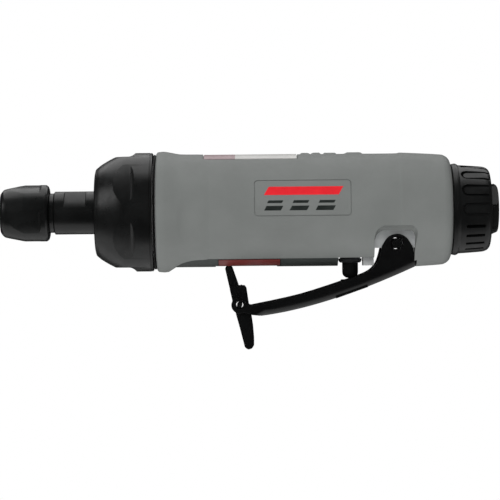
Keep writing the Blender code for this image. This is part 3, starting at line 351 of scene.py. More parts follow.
def close_tree(tree, geometry, material):
    """End a tree: real geometry with its finish."""
    whole = add(tree, "GeometryNodeRealizeInstances", links={"Geometry": geometry})
    painted = add(tree, "GeometryNodeSetMaterial",
                  links={"Geometry": whole.outputs[0], "Material": material})
    add(tree, "NodeGroupOutput", links={0: painted.outputs[0]})
    return tree


def ring_tree():
    """Copies of a shape turned about the spindle, at an even pitch from a first angle."""
    tree, given = new_tree("copies_round_the_spindle", Copies="Int", First="Float",
                           Pitch="Float", Finish="Material")
    places = add(tree, "GeometryNodePoints", links={"Count": given["Copies"]})
    number = add(tree, "GeometryNodeInputIndex")
    turn = add(tree, "ShaderNodeMath", operation="MULTIPLY_ADD",
               links={0: number.outputs[0], 1: given["Pitch"], 2: given["First"]})
    about_x = add(tree, "ShaderNodeCombineXYZ", links={"X": turn.outputs[0]})
    facing = add(tree, "FunctionNodeEulerToRotation", links={0: about_x.outputs[0]})
    placed = add(tree, "GeometryNodeInstanceOnPoints", links={
        "Points": places.outputs[0], "Instance": given["Geometry"], "Rotation": facing.outputs[0]})
    return close_tree(tree, placed.outputs[0], given["Finish"])


def wire_tree():
    """A round wire swept along a curve."""
    tree, given = new_tree("wire_along_a_path", Thickness="Float", Sides="Int", Finish="Material")
    section = add(tree, "GeometryNodeCurvePrimitiveCircle",
                  links={"Radius": given["Thickness"], "Resolution": given["Sides"]})
    swept = add(tree, "GeometryNodeCurveToMesh", {"Fill Caps": True},
                {"Curve": given["Geometry"], "Profile Curve": section.outputs[0]})
    return close_tree(tree, swept.outputs[0], given["Finish"])


RING, WIRE = ring_tree(), wire_tree()


def grown(item, tree, **values):
    """Run a geometry tree on an object and keep the result as a plain mesh."""
    modifier = item.modifiers.new("grow", "NODES")
    modifier.node_group = tree
    for socket in tree.interface.items_tree:
        if socket.in_out == "INPUT" and socket.name in values:
            modifier[socket.identifier] = values[socket.name]
    mesh = evaluated_mesh(item)
    name = item.name
    bpy.data.objects.remove(item, do_unlink=True)
    builder = bmesh.new()
    builder.from_mesh(mesh)
    materials = list(mesh.materials)
    bpy.data.meshes.remove(mesh)
    return to_object(name, builder, *materials)


def round_spindle(item, copies, first, pitch):
    """Copies of a cutter turned about the spindle, angles in degrees."""
    return grown(item, RING, Copies=copies, First=math.radians(first), Pitch=math.radians(pitch))


def wire(name, points, radius, finish):
    """A round wire through a row of points."""
    curve = bpy.data.curves.new(name, "CURVE")
    curve.dimensions = "3D"
    spline = curve.splines.new("POLY")
    spline.points.add(len(points) - 1)
    for point, place in zip(spline.points, points):
        point.co = (*(Vector(place) * MM), 1)
    item = bpy.data.objects.new(name, curve)
    bpy.context.scene.collection.objects.link(item)
    return grown(item, WIRE, Thickness=radius * MM, Sides=WIRE_SIDES, Finish=finish)


# ============================ materials =======================================

def linear(colour):
    """A colour given as sRGB hex, as the renderer's linear values."""
    channels = [int(colour[index:index + 2], 16) / 255 for index in (0, 2, 4)]
    return (*[c / 12.92 if c <= 0.04045 else ((c + 0.055) / 1.055) ** 2.4 for c in channels], 1.0)


def per_mm(size):
    """Pattern scale that repeats about every size millimetres."""
    return 1.0 / (size * MM)


class Finish:
    """One material: a Principled shader with object-space patterns on it."""

    def __init__(self, name, **sockets):
        self.item = bpy.data.materials.new(name)
        self.item.use_nodes = True
        self.tree = self.item.node_tree
        self.shader = self.tree.nodes["Principled BSDF"]
        self.place = add(self.tree, "ShaderNodeTexCoord").outputs["Object"]
        for key, value in sockets.items():
            self.shader.inputs[key.replace("_", " ")].default_value = value

    def noise(self, size, detail=4.0, stretch=(1, 1, 1)):
        """Noise with features about size millimetres, stretched along some axes."""
        mapped = add(self.tree, "ShaderNodeMapping", {"Scale": stretch}, {"Vector": self.place})
        return add(self.tree, "ShaderNodeTexNoise",
                   {"Scale": per_mm(size), "Detail": detail},
                   {"Vector": mapped.outputs[0]}).outputs["Fac"]

    def colours(self, factor, *stops):
        """Colour the surface by a pattern; stops are (position, sRGB hex)."""
        ramp = add(self.tree, "ShaderNodeValToRGB", links={"Fac": factor})
        while len(ramp.color_ramp.elements) < len(stops):
            ramp.color_ramp.elements.new(1.0)
        for element, (position, colour) in zip(ramp.color_ramp.elements, stops):
            element.position = position
            element.color = linear(colour)
        self.tree.links.new(ramp.outputs["Color"], self.shader.inputs["Base Color"])

    def roughen(self, factor, low, high):
        """Vary the roughness between two values by a pattern."""
        ranged = add(self.tree, "ShaderNodeMapRange",
                     {"From Min": 0.3, "From Max": 0.7, "To Min": low, "To Max": high},
                     {"Value": factor})
        self.tree.links.new(ranged.outputs[0], self.shader.inputs["Roughness"])

    def bump(self, factor, height):
        """Raise the surface by a pattern, height in millimetres."""
        raised = add(self.tree, "ShaderNodeBump", {"Strength": 1.0, "Distance": height * MM},
                     {"Height": factor})
        self.tree.links.new(raised.outputs[0], self.shader.inputs["Normal"])


AROUND_X = (1.0, 0.03, 0.03)       # marks of turning about the spindle: rings


def black_oxide_steel():
    # Turned steel in hot black oxide, oiled: near black, satin, faint turning rings.
    finish = Finish("black_oxide_turned_steel", Specular_IOR_Level=0.62)
    finish.colours(finish.noise(9.0), (0.35, "0b0c0c"), (0.7, "141515"))
    finish.roughen(finish.noise(2.0), 0.27, 0.38)
    # Real tool marks are about 0.1 mm apart; drawn at 0.6 mm so that they show.
    finish.bump(finish.noise(0.6, stretch=AROUND_X), 0.006)
    return finish.item


def black_paint():
    # Pressed steel with a thin black electrocoat: smooth, semi-gloss, slight orange peel.
    finish = Finish("black_electrocoated_steel", Specular_IOR_Level=0.6)
    finish.colours(finish.noise(12.0), (0.35, "070708"), (0.7, "0d0e0e"))
    finish.roughen(finish.noise(3.0), 0.26, 0.36)
    finish.bump(finish.noise(1.1, detail=2.0), 0.008)
    return finish.item


def grey_composite():
    # Glass-filled nylon moulded over the motor: mid grey, fine spark texture, low sheen.
    finish = Finish("grey_glass_filled_nylon", Specular_IOR_Level=0.32)
    finish.colours(finish.noise(14.0, detail=6.0), (0.3, "747775"), (0.7, "7b7e7c"))
    finish.roughen(finish.noise(1.5), 0.5, 0.62)
    # Spark texture has grains near 0.1 mm; drawn at 0.35 mm so that it shows.
    finish.bump(finish.noise(0.35, detail=3.0), 0.010)
    return finish.item


def dark_composite():
    # The same nylon, darker on the flattened band under the grip: partly the band's own charcoal
    # colour, partly painted shade where the underside faces down.
    finish = Finish("band_nylon_charcoal_and_painted_shade", Specular_IOR_Level=0.3)
    finish.colours(finish.noise(14.0, detail=6.0), (0.3, "3d4140"), (0.7, "444846"))
    finish.roughen(finish.noise(1.5), 0.5, 0.62)
    finish.bump(finish.noise(0.35, detail=3.0), 0.010)
    return finish.item


def black_plastic():
    # Moulded black nylon: satin, with the faint pebble of the mould.
    finish = Finish("black_moulded_nylon", Specular_IOR_Level=0.5)
    finish.colours(finish.noise(8.0), (0.35, "0d0e0e"), (0.7, "151616"))
    finish.roughen(finish.noise(1.8), 0.32, 0.44)
    finish.bump(finish.noise(0.5, detail=3.0), 0.008)
    return finish.item


def black_rubber():
    # Nitrile rubber: matt, sooty black.
    finish = Finish("black_nitrile_rubber", Specular_IOR_Level=0.3)
    finish.colours(finish.noise(5.0), (0.35, "080808"), (0.7, "0f0f0f"))
    finish.roughen(finish.noise(1.2), 0.6, 0.75)
    finish.bump(finish.noise(0.6), 0.01)
    return finish.item


def cast_aluminium():
    # Die-cast aluminium, bead blasted: pale grey metal with a grainy skin.
    # Blasting and its oxide skin scatter much of the light, so it isn't all mirror-like.
    finish = Finish("blasted_cast_aluminium", Metallic=0.15)
    finish.colours(finish.noise(3.0, detail=6.0), (0.3, "c3c6c6"), (0.7, "d9dbdb"))
    finish.roughen(finish.noise(0.9), 0.42, 0.6)
    finish.bump(finish.noise(0.7, detail=5.0), 0.03)
    return finish.item


def ground_steel():
    # Ground bearing steel: bright, with fine rings from grinding.
    finish = Finish("ground_bearing_steel", Metallic=1.0)
    finish.colours(finish.noise(6.0), (0.35, "9a9c9e"), (0.7, "b4b6b8"))
    finish.roughen(finish.noise(0.8, stretch=AROUND_X), 0.16, 0.32)
    finish.bump(finish.noise(0.5, stretch=AROUND_X), 0.004)
    return finish.item


def spring_steel():
    # Drawn spring wire, lightly oiled: bright grey, smooth along the wire.
    finish = Finish("drawn_spring_wire", Metallic=1.0)
    finish.colours(finish.noise(2.0), (0.35, "a9abad"), (0.7, "c9cbcd"))
    finish.roughen(finish.noise(0.7), 0.18, 0.32)
    return finish.item


def phosphated_steel():
    # Machined steel in grey phosphate: dark grey, dull metal.
    finish = Finish("phosphated_steel", Metallic=0.7)
    finish.colours(finish.noise(2.5), (0.35, "4c4e4f"), (0.7, "606263"))
    finish.roughen(finish.noise(0.9), 0.34, 0.48)
    finish.bump(finish.noise(0.5), 0.006)
    return finish.item


def cast_iron():
    # Honed grey iron for the motor's liner and end plates: dark metal with graphite flecks.
    finish = Finish("honed_grey_iron", Metallic=1.0)
    finish.colours(finish.noise(0.8, detail=6.0), (0.3, "5a5b5c"), (0.45, "7c7d7e"), (0.7, "8a8b8c"))
    finish.roughen(finish.noise(1.2), 0.32, 0.5)
    finish.bump(finish.noise(0.5, stretch=AROUND_X), 0.006)
    return finish.item


def brass():
    # Free-cutting brass, machined: yellow metal with soft tarnish.
    finish = Finish("machined_brass", Metallic=1.0)
    finish.colours(finish.noise(4.0), (0.3, "a98548"), (0.7, "cfae6c"))
    finish.roughen(finish.noise(1.5), 0.22, 0.4)
    finish.bump(finish.noise(0.5, stretch=AROUND_X), 0.004)
    return finish.item


def phenolic():
    # Cotton-phenolic laminate blades: brown, with the cloth's layers showing.
    finish = Finish("cotton_phenolic_laminate", Specular_IOR_Level=0.45)
    finish.colours(finish.noise(0.6, stretch=(0.15, 1, 1)), (0.35, "4e2c17"), (0.7, "7a4a29"))
    finish.roughen(finish.noise(1.0), 0.45, 0.6)
    finish.bump(finish.noise(0.6, stretch=(0.15, 1, 1)), 0.01)
    return finish.item


def gasket_paper():
    # Oiled fibre gasket: tan, matt, with short fibres.
    finish = Finish("oiled_fibre_gasket", Specular_IOR_Level=0.25)
    finish.colours(finish.noise(0.7, detail=6.0), (0.3, "7d6c4c"), (0.7, "9d8b68"))
    finish.roughen(finish.noise(1.0), 0.75, 0.9)
    finish.bump(finish.noise(0.4, detail=6.0), 0.02)
    return finish.item


def felt():
    # Pressed wool felt in the exhaust: pale grey, fuzzy and quite rough.
    finish = Finish("pressed_grey_felt", Specular_IOR_Level=0.1, Sheen_Weight=0.3)
    finish.colours(finish.noise(0.5, detail=8.0), (0.3, "8b8b87"), (0.7, "b0b0ab"))
    finish.roughen(finish.noise(1.0), 0.9, 1.0)
    finish.bump(finish.noise(0.3, detail=8.0), 0.06)
    return finish.item


def printed(name, low, high):
    """Printed polyester film: a slight gloss, with the ink a little uneven."""
    finish = Finish(name, Specular_IOR_Level=0.5)
    finish.colours(finish.noise(5.0), (0.3, low), (0.7, high))
    finish.roughen(finish.noise(2.0), 0.3, 0.42)
    finish.bump(finish.noise(1.5), 0.004)
    return finish.item


# ============================ collet group ====================================

def wrench_flats(name, distance, front, rear, count, first, pitch, run_out, depth=6.0):
    """Cutter for milled flats, whose rear ends curve out as the milling cutter leaves them."""
    rise = arc((rear, distance + run_out), run_out, -90, 0, 8)
    outline = [(front, distance), *rise, (rear + run_out, distance + depth), (front, distance + depth)]
    return round_spindle(plate(name, outline, distance), count, first, pitch)


def collet_nut():
    mouth_r = SHANK_R + 1.525
    nose = smooth([(NUT_FRONT + 0.35, NUT_R - 2.35), (NUT_FRONT + 0.9, NUT_R - 1.75),
                   (NUT_FRONT + 1.7, NUT_R - 1.32), (NUT_FRONT + 5.0, NUT_R - 0.62),
                   (NUT_FRONT + 8.1, NUT_R)])
    rear = filleted([(NUT_REAR - 0.9, NUT_R), (NUT_REAR - 0.25, NUT_R - 0.45),
                     (NUT_REAR, NUT_R - 1.1)], 0.3)[5:-5]
    nut = turned("collet_nut_finished", [
        (NUT_FRONT + 0.35, mouth_r), (NUT_FRONT, mouth_r + 0.35), (NUT_FRONT, NUT_R - 2.9), *nose,
        (NUT_REAR - 0.9, NUT_R), *rear, (NUT_REAR, NUT_R - 1.1),
        (NUT_REAR, THREAD_R + 0.5), (BODY_FRONT - 1.0, THREAD_R + 0.5),
        (BODY_FRONT - 2.4, THREAD_R - 0.5), (NUT_FRONT + 1.2, mouth_r)], black_steel)
    return carve(nut, wrench_flats("nut_flats", NUT_R - 0.9, NUT_FRONT + 2.0, NUT_REAR - 3.6,
                                   4, 20, 90, 1.4))


def collet():
    collet_r = SHANK_R + 1.125
    wide_r = SHANK_R + 2.225
    body = turned("collet_finished", filleted([
        (COLLET_FRONT, SHANK_R), (COLLET_FRONT, collet_r), (COLLET_FRONT + 0.8, collet_r),
        (BODY_FRONT - 2.0, wide_r), (BODY_FRONT - 0.7, wide_r), (COLLET_REAR, SHANK_R + 1.225),
        (COLLET_REAR, SHANK_R)], 0.15), bright_steel, facets=96)
    slit = block("slit", (COLLET_FRONT - 2, -0.4, 0), (COLLET_REAR - 3, 0.4, DEEP))
    return carve(body, round_spindle(slit, 3, 30, 120))


def spindle():
    rear = BODY_REAR
    bore_r = THREAD_R - 0.5
    body = turned("spindle_finished", filleted([
        (BODY_FRONT, bore_r), (BODY_FRONT, THREAD_R), (NUT_REAR - 0.2, THREAD_R),
        (NUT_REAR + 0.3, SPINDLE_R - 0.6), (NUT_REAR + 1.6, SPINDLE_R - 0.6),
        (NUT_REAR + 2.0, SPINDLE_R), (rear, SPINDLE_R), (rear, 4.0), (CAP_FRONT - 4.1, 4.0),
        (CAP_FRONT - 4.1, 2.0), (COLLET_REAR + 4.0, 2.0), (COLLET_REAR + 4.0, SHANK_R + 0.3),
        (COLLET_REAR + 1.0, SHANK_R + 0.3), (COLLET_REAR, SHANK_R + 1.6)], 0.2), black_steel)
    flat = plate("spindle_flat", filleted([
        (NUT_REAR + 5.1, SPINDLE_R - 0.95), (CAP_FRONT - 3.0, SPINDLE_R - 0.95),
        (CAP_FRONT - 3.0, SPINDLE_R + 3), (NUT_REAR + 5.1, SPINDLE_R + 3)], 0.6), 8.0)
    return carve(body, round_spindle(flat, 2, 46, 180))


# ============================ front end =======================================

def clamp_nut():
    floor = CAP_FRONT + 5.0
    mouth_r = SPINDLE_R + 0.35
    nose = smooth([(CAP_FRONT + 0.1, CAP_R - 5.9), (CAP_FRONT + 0.3, CAP_R - 5.35),
                   (CAP_FRONT + 0.9, CAP_R - 4.8), (CAP_FRONT + 1.9, CAP_R - 4.0),
                   (CAP_FRONT + 3.9, CAP_R - 2.75), (CAP_FRONT + 5.9, CAP_R - 1.7),
                   (CAP_FRONT + 7.8, CAP_R - 0.8), (CAP_FRONT + 9.4, CAP_R - 0.2),
                   (CAP_FRONT + 10.6, CAP_R)])
    nut = turned("clamp_nut_finished", [
        (CAP_FRONT + 0.4, mouth_r), (CAP_FRONT, mouth_r + 0.4), (CAP_FRONT, CAP_R - 6.3), *nose,
        (CAP_REAR - 0.9, CAP_R), (CAP_REAR - 0.75, CAP_R - 0.15), (CAP_REAR - 0.6, CAP_R - 0.15),
        (CAP_REAR - 0.45, CAP_R), (CAP_REAR - 0.3, CAP_R - 0.04), (CAP_REAR, CAP_R - 0.35),
        (CAP_REAR, CAP_BORE_R), (floor, CAP_BORE_R), (floor, mouth_r)], black_steel, facets=192)
    return carve(nut, wrench_flats("cap_flats", CAP_R - 1.4, CAP_FRONT - 1, CAP_FRONT + 11.2,
                                   6, 0, 60, 2.6))


def cap_ring():
    front, rear = span("cap_ring")[0][0], span("cap_ring")[1][0]
    return turned("cap_ring_finished", filleted([
        (front, CAP_BORE_R), (front, GRIP_R + 0.25), (rear, GRIP_R + 0.25), (rear, CAP_BORE_R)],
        0.2), rubber)


# ============================ cover ===========================================

WINDOW_FRONT, WINDOW_REAR = LEVER_X - 7.5, LEVER_X + 6.6
WINDOW_TOP = LEVER_Z + 5.8
BAND_FRONT, BAND_REAR = COVER_FRONT + 5.8, WINDOW_FRONT + 2.0
BAND_HALF = 10.3
NOTCH_FRONT = PLUNGER_X - 4.2
GROOVE_FRONT, GROOVE_REAR = LOCK_X - 7.9, LOCK_X + 12.6
GROOVE_TOP = 3.95 - GRIP_R
# Labels: front and rear along X, and half the angle that they cover.
TOP_LABEL = (COVER_FRONT + 15.8, COVER_FRONT + 46.5, 24.0)
LOWER_LABEL = (GROOVE_FRONT + 1.1, GROOVE_FRONT + 21.4, 8.2)
LOWER_LABEL_ANGLE = -69.2
PANEL = (LOCK_X + 5.1, LOCK_X + 36.9, -2.0, 10.4)      # left, right, low, high
PANEL_LINE = 0.3           # width and depth of the line engraved round it
FILM = 0.3                 # label film, thickened so that it shows
COVER_FACETS = 256


def cover_profile():
    """Outside of the cover, front to rear."""
    swell = LEVER_X
    return smooth([
        (COVER_FRONT + 0.25, GRIP_R + 0.85), (COVER_FRONT + 0.6, GRIP_R + 1.1),
        (COVER_FRONT + 2.6, GRIP_R + FLARE), (COVER_FRONT + 4.8, GRIP_R + 0.9),
        (COVER_FRONT + 6.8, GRIP_R + 0.5), (COVER_FRONT + 8.8, GRIP_R + 0.3),
        (COVER_FRONT + 14.8, GRIP_R + 0.22), (COVER_FRONT + 17.2, GRIP_R + 0.02),
        (COVER_FRONT + 20.0, GRIP_R), (swell - 24.0, GRIP_R), (swell - 12.0, GRIP_R),
        (swell - 0.6, GRIP_R), (swell + 1.4, GRIP_R + 0.22), (swell + 3.5, GRIP_R + 0.16),
        (swell + 9.0, GRIP_R - 0.12), (COVER_REAR - 3.4, GRIP_R - 0.5),
        (COVER_REAR - 2.0, GRIP_R - 0.85), (COVER_REAR - 1.1, GRIP_R - 1.4),
        (COVER_REAR - 0.5, GRIP_R - 2.1), (COVER_REAR - 0.15, GRIP_R - 2.9)], steps=7)


def hollow(distance):
    """Soft edge of a hollow: 1 in its middle, 0 from a distance of 1 outwards."""
    return (1 + math.cos(math.pi * min(distance, 1.0))) / 2


def grip_shape(x, elevation):
    """How far the moulded shape stands off the turned one, in millimetres."""
    # Thumb hollow on each side of the flare, sharper at its front edge.
    along, up = x - (COVER_FRONT + 9.6), elevation + 7.0 - 2.2 * (x - COVER_FRONT - 9.6)
    length = 3.2 if along < 0 else 8.5
    return -0.5 * hollow(math.hypot(along / length, up / 27.0))


def top_bumps(x, angle_from_top):
    """Low moulded pads along the top, behind the label."""
    rise = 0.0
    for start, length, half, height in ((PLUNGER_X - 16.4, 3.2, 9.0, 0.45),
                                        (PLUNGER_X - 12.6, 3.0, 9.0, 0.5),
                                        (PLUNGER_X - 8.8, 4.6, 9.0, 0.42),
                                        (PLUNGER_X - 1.6, 6.0, 12.0, 0.5)):
        along = abs(x - start - length / 2) / (length / 2)
        across = abs(angle_from_top) / half
        edge = max(along, across)
        rise = max(rise, height * min(1.0, max(0.0, (1 - edge) * 4.0)))
    return rise


def cover_outline():
    """Closed outline of the cover's wall, finely divided where it is moulded."""
    inner_r = CAP_BORE_R
    neck_r = KNOB_R + 0.5
    inside = [(COVER_REAR, neck_r), (COVER_REAR - 3.4, neck_r),
              (COVER_REAR - 3.4, inner_r), (COVER_FRONT, inner_r)]
    outside = []
    for (x0, r0), (x1, r1) in zip(cover_profile(), cover_profile()[1:]):
        pieces = max(1, round((x1 - x0) / 0.6))
        outside += [(x0 + (x1 - x0) * step / pieces, r0 + (r1 - r0) * step / pieces)
                    for step in range(pieces)]
    return [(COVER_FRONT, GRIP_R + 0.55), *outside, cover_profile()[-1], *inside]


def moulded_shell():
    """The cover before it is cut: the turned wall with its hollows and pads."""
    builder = bmesh.new()
    rings = []
    for x, r in cover_outline():
        ring = []
        for step in range(COVER_FACETS):
            angle = math.tau * step / COVER_FACETS
            y, z = math.cos(angle), math.sin(angle)
            radius = r
            if r > CAP_BORE_R + 0.5:
                elevation = math.degrees(math.asin(z))
                radius += grip_shape(x, elevation) + top_bumps(x, 90 - elevation)
            ring.append(builder.verts.new((x * MM, radius * y * MM, radius * z * MM)))
        rings.append(ring)
    for before, ring in zip(rings[-1:] + rings[:-1], rings):
        for step in range(COVER_FACETS):
            after = (step + 1) % COVER_FACETS
            builder.faces.new((ring[step], ring[after], before[after], before[step]))
    # The second finish is the band's darker nylon: partly its own colour, partly painted shade under
    # the grip.
    return to_object("housing_cover_finished", builder, composite, charcoal)


def housing_cover():
    cover = moulded_shell()
    carve_band(cover)
    carve_window(cover)
    carve_labels(cover)
    carve_panels(cover)
    paint_band(cover)
    return cover


def carve_panels(cover):
    """A fine line round the printed panel on each side."""
    left, right, low, high = PANEL
    line = PANEL_LINE
    outer = rounded_box(left, right, low, high, 1.3, along=14)
    inner = rounded_box(left + line, right - line, low + line, high - line, 1.0, along=14)
    for side in (-1, 1):
        carve(cover, groove("panel_line", outer, inner, GRIP_R - PANEL_LINE, side))


def band_outline(inset=0.0):
    """The flattened band's outline, as (x, y), rounded at its front."""
    half = BAND_HALF - inset
    return [*arc((BAND_FRONT + BAND_HALF * 0.8, 0), half, 270, 90, 24),
            (BAND_REAR + 2, half), (BAND_REAR + 2, -half)]


def plate_down(name, outline):
    """A cutter below the part: an (x, y) outline stretched along Z."""
    item = plate(name, outline, DEEP / 2)
    item.data.transform(Matrix.Translation((0, 0, -(DEEP / 2 + 8) * MM))
                        @ Matrix.Rotation(-math.pi / 2, 4, "X"))
    return item


def carve_band(cover):
    """Sink the band a little, with a deeper line round it."""
    line = plate_down("band_line", band_outline())
    carve(line, plate_down("band_inside", band_outline(0.55)))
    for cutter, floor_r in ((plate_down("band", band_outline()), BAND_R), (line, GRIP_R - 0.95)):
        carve(cutter, rod("band_core", BAND_FRONT - 20, BAND_REAR + 20, floor_r, COVER_FACETS))
        carve(cover, cutter)


def window_outline(front, rear, top, corner):
    """Window open at the bottom, its front corner rounder than its rear one."""
    return [(front, -DEEP), (front, top - 1.5 * corner),
            *arc((front + corner * 1.5, top - corner * 1.5), corner * 1.5, 180, 90, 10)[1:],
            *arc((rear - corner, top - corner), corner, 90, 0, 10), (rear, -DEEP)]


def sloped_window(side):
    """Cutter for the lever's window, whose top and rear walls slope in to a lip."""
    builder = bmesh.new()
    outer = window_outline(WINDOW_FRONT - 0.4, WINDOW_REAR, WINDOW_TOP, 2.6)
    inner = window_outline(WINDOW_FRONT - 0.1, WINDOW_REAR - 0.9, WINDOW_TOP - 1.9, 2.2)
    rows = []
    for y, outline in ((GRIP_R + 4, outer), (GRIP_R - 0.8, outer),
                       (CAP_BORE_R - 2.2, inner), (8.4, inner)):
        rows.append([builder.verts.new((x * MM, side * y * MM, z * MM)) for x, z in outline])
    for first, second in zip(rows, rows[1:]):
        for index in range(len(outer)):
            after = (index + 1) % len(outer)
            builder.faces.new((first[index], first[after], second[after], second[index]))
    builder.faces.new(rows[0])
    builder.faces.new(rows[-1])
    return to_object("sloped_window", builder)


def carve_window(cover):
    for side in (-1, 1):
        carve(cover, sloped_window(side))
    carve(cover, block("window_middle", (WINDOW_FRONT, -8.5, -DEEP), (WINDOW_REAR, 8.5, -10.0)))
    carve(cover, block("underside_notch", (NOTCH_FRONT, -DEEP, -DEEP),
                       (WINDOW_FRONT + 1, DEEP, UNDERSIDE_Z)))
    carve(cover, block("lock_groove", (GROOVE_FRONT, -3.1, -DEEP), (GROOVE_REAR, 3.1, GROOVE_TOP)))


def carve_labels(cover):
    """Shallow recesses that the labels sit in, a little larger than the film."""
    for place, side, middle_angle, floor in ((TOP_LABEL, 1, 90.0, GRIP_R - 0.4),
                                             (LOWER_LABEL, -1, LOWER_LABEL_ANGLE, BAND_R - 0.4)):
        front, rear, half = place
        reach_out = math.radians(half) * GRIP_R + 0.3
        count = 16
        builder = bmesh.new()
        rows = [[[builder.verts.new(on_grip(x, -reach_out + 2 * reach_out * step / count, radius,
                                            side, middle_angle))
                  for step in range(count + 1)] for x in (front - 0.3, rear + 0.3)]
                for radius in (floor, GRIP_R + 3)]
        for level in rows:
            for step in range(count):
                builder.faces.new((level[0][step], level[0][step + 1],
                                   level[1][step + 1], level[1][step]))
        for end in (0, 1):
            for step in range(count):
                builder.faces.new((rows[0][end][step], rows[0][end][step + 1],
                                   rows[1][end][step + 1], rows[1][end][step]))
        for step in (0, count):
            builder.faces.new((rows[0][0][step], rows[0][1][step],
                               rows[1][1][step], rows[1][0][step]))
        carve(cover, to_object("label_recess", builder))


def paint_band(cover):
    """Give the band under the grip its darker nylon: partly its own charcoal colour, partly painted
    shade under the grip.
    """
    for face in cover.data.polygons:
        x, y, z = (value / MM for value in face.center)
        round_start = math.hypot(max(0.0, BAND_FRONT + BAND_HALF * 0.8 - x), y) < BAND_HALF
        in_band = abs(y) < BAND_HALF + 0.02 and round_start and x > BAND_FRONT
        if in_band and z < 0 and x < WINDOW_FRONT + 0.5 and math.hypot(y, z) < GRIP_R - 0.02:
            # Darker band finish: partly real charcoal colour, partly painted shade on the underside.
            face.material_index = 1


def grip_graphics():
    """Generic print in each side panel: a slanted red bar over dark speed lines."""
    left, right, low, high = PANEL
    pieces = []
    slant = 0.55
    for side in (-1, 1):
        bars = [("red", left + 3.2, right - 2.6, high - 5.4, high - 2.5, print_red)]
        for number, (start, end) in enumerate(((3.2, 9.5), (11.5, 18.0), (20.0, 26.6))):
            bars.append((f"dark_{number}", left + start, left + end,
                         low + 1.9, low + 3.4, print_dark))
            bars.append((f"fine_{number}", left + start + 1.0, left + end,
                         low + 4.3, low + 5.2, print_dark))
        for label, start, end, bottom, top, finish in bars:
            rows = [(bottom + (top - bottom) * step / 4,
                     start + slant * (bottom + (top - bottom) * step / 4 - bottom),
                     end + slant * (bottom + (top - bottom) * step / 4 - top)) for step in range(5)]
            name = f"print_{label}_{'near' if side < 0 else 'far'}"
            pieces.append(skin(name, rows, GRIP_R - 0.02, 0.05, finish, side))
    return pieces


def film_rows(left, right, half, count):
    """Straight rows of a label's film, half degrees to each side of its middle."""
    arc_half = math.radians(half) * GRIP_R
    return [(arc_half * (2 * step / count - 1), left, right) for step in range(count + 1)]


def labels():
    """Blank label film with plain colour fields."""
    front, rear, half = TOP_LABEL
    split = front + 10.3
    header = skin("top_label_header", film_rows(front, split, half, 16), GRIP_R - 0.2, FILM,
                  print_pink, 1, 90.0, columns=8)
    field = skin("top_label_field", film_rows(split, rear, half, 16), GRIP_R - 0.2, FILM,
                 print_white, 1, 90.0, columns=8)
    lower = skin("lower_label_film", film_rows(*LOWER_LABEL, 6), BAND_R - 0.2, FILM,
                 print_dull_red, -1, LOWER_LABEL_ANGLE)
    return header, field, lower


# ============================ throttle lever ==================================

LEVER_SHEET = 1.6          # thickness of the pressed steel
BESIDE = 0.02              # how near a corner is to the bend's line to lie on it


def lever_underside(count=28):
    """Outside of the lever's web, front to rear: one even curve between two slopes."""
    start, end = (LOCK_X + 7.2, LOCK_Z - 3.65), (LEVER_X + 6.1, LEVER_Z - 7.8)
    front_slope, rear_slope = 0.12, 0.45
    meet_x = (end[1] - start[1] + front_slope * start[0] - rear_slope * end[0]) / (
        front_slope - rear_slope)
    meet = (meet_x, start[1] + front_slope * (meet_x - start[0]))
    return [tuple((1 - t) ** 2 * a + 2 * t * (1 - t) * b + t * t * c
                  for a, b, c in zip(start, meet, end))
            for t in [step / count for step in range(count + 1)]]


def offset_line(points, distance):
    """An open row of points moved to its left."""
    moved = []
    for index, point in enumerate(points):
        before, after = points[max(index - 1, 0)], points[min(index + 1, len(points) - 1)]
        direction = Vector((after[0] - before[0], after[1] - before[1])).normalized()
        moved.append((point[0] - direction.y * distance, point[1] + direction.x * distance))
    return moved


def height_on(points, x):
    """Height of a row of points at x."""
    for (x0, z0), (x1, z1) in zip(points, points[1:]):
        if x0 <= x <= x1:
            return z0 + (z1 - z0) * (x - x0) / (x1 - x0)
    return points[-1][1]


def near_line(points):
    """A test for corners that lie on a row of points."""
    def lies_on(x, z):
        return any(abs(x - a) < BESIDE and abs(z - b) < BESIDE for a, b in points)
    return lies_on


def pin_hole(name, x, z, radius):
    """A cutter for a cross hole through both sides of the lever."""
    reach_out = LEVER_HALF + 2
    return crosswise(rod(name, -reach_out, reach_out, radius, 48), x, z)


def lever_outline(below):
    """The lever's side: ears round its pin, concave neck, long arm and round nose."""
    x, z = LEVER_X, LEVER_Z
    shoulder = (x - 15.5, z - 11.5)
    front = (LOCK_X + 3.6, LOCK_Z - 0.1)
    upper = [(x + 5.8, z - 3.5), (x + 5.1, z - 0.9), *arc((x + 0.1, z - 1.5), 4.6, 35, 145, 20),
             *smooth([(x - 4.9, z - 0.9), (x - 5.5, z - 3.5), (x - 6.5, z - 6.2), (x - 8.2, z - 8.3),
                      (x - 10.3, z - 9.6), (x - 12.9, z - 10.6), shoulder,
                      ((shoulder[0] + front[0]) / 2, (shoulder[1] + front[1]) / 2 - 0.85), front], 4)]
    nose = arc((LOCK_X, LOCK_Z), 2.75, 110, 300, 20)
    return [*upper, *nose, (LOCK_X + 4.2, LOCK_Z - 3.3), *below]


def throttle_lever():
    below = lever_underside()
    half = LEVER_HALF - 0.3
    inside = half - LEVER_SHEET
    lever = plate("throttle_lever_finished", lever_outline(below), half, paint, edge=0.28,
                  bend=near_line(below), bend_r=2 * LEVER_SHEET)
    channel = offset_line(below, LEVER_SHEET)
    front_x, rear_x = LOCK_X - 6, LEVER_X + 12
    carve(lever, plate("lever_channel", [
        (front_x, LOCK_Z - 9), (channel[0][0], LOCK_Z - 9), *channel,
        (rear_x, channel[-1][1] + 2.5), (rear_x, 0.0), (front_x, 0.0)], inside,
        bend=near_line(channel), bend_r=LEVER_SHEET))
    carve(lever, pin_hole("lever_pin_hole", LEVER_X, LEVER_Z, 2.0))
    carve(lever, pin_hole("lock_pin_hole", LOCK_X, LOCK_Z, 1.2))
    add_pad(lever, below, inside)
    return lever


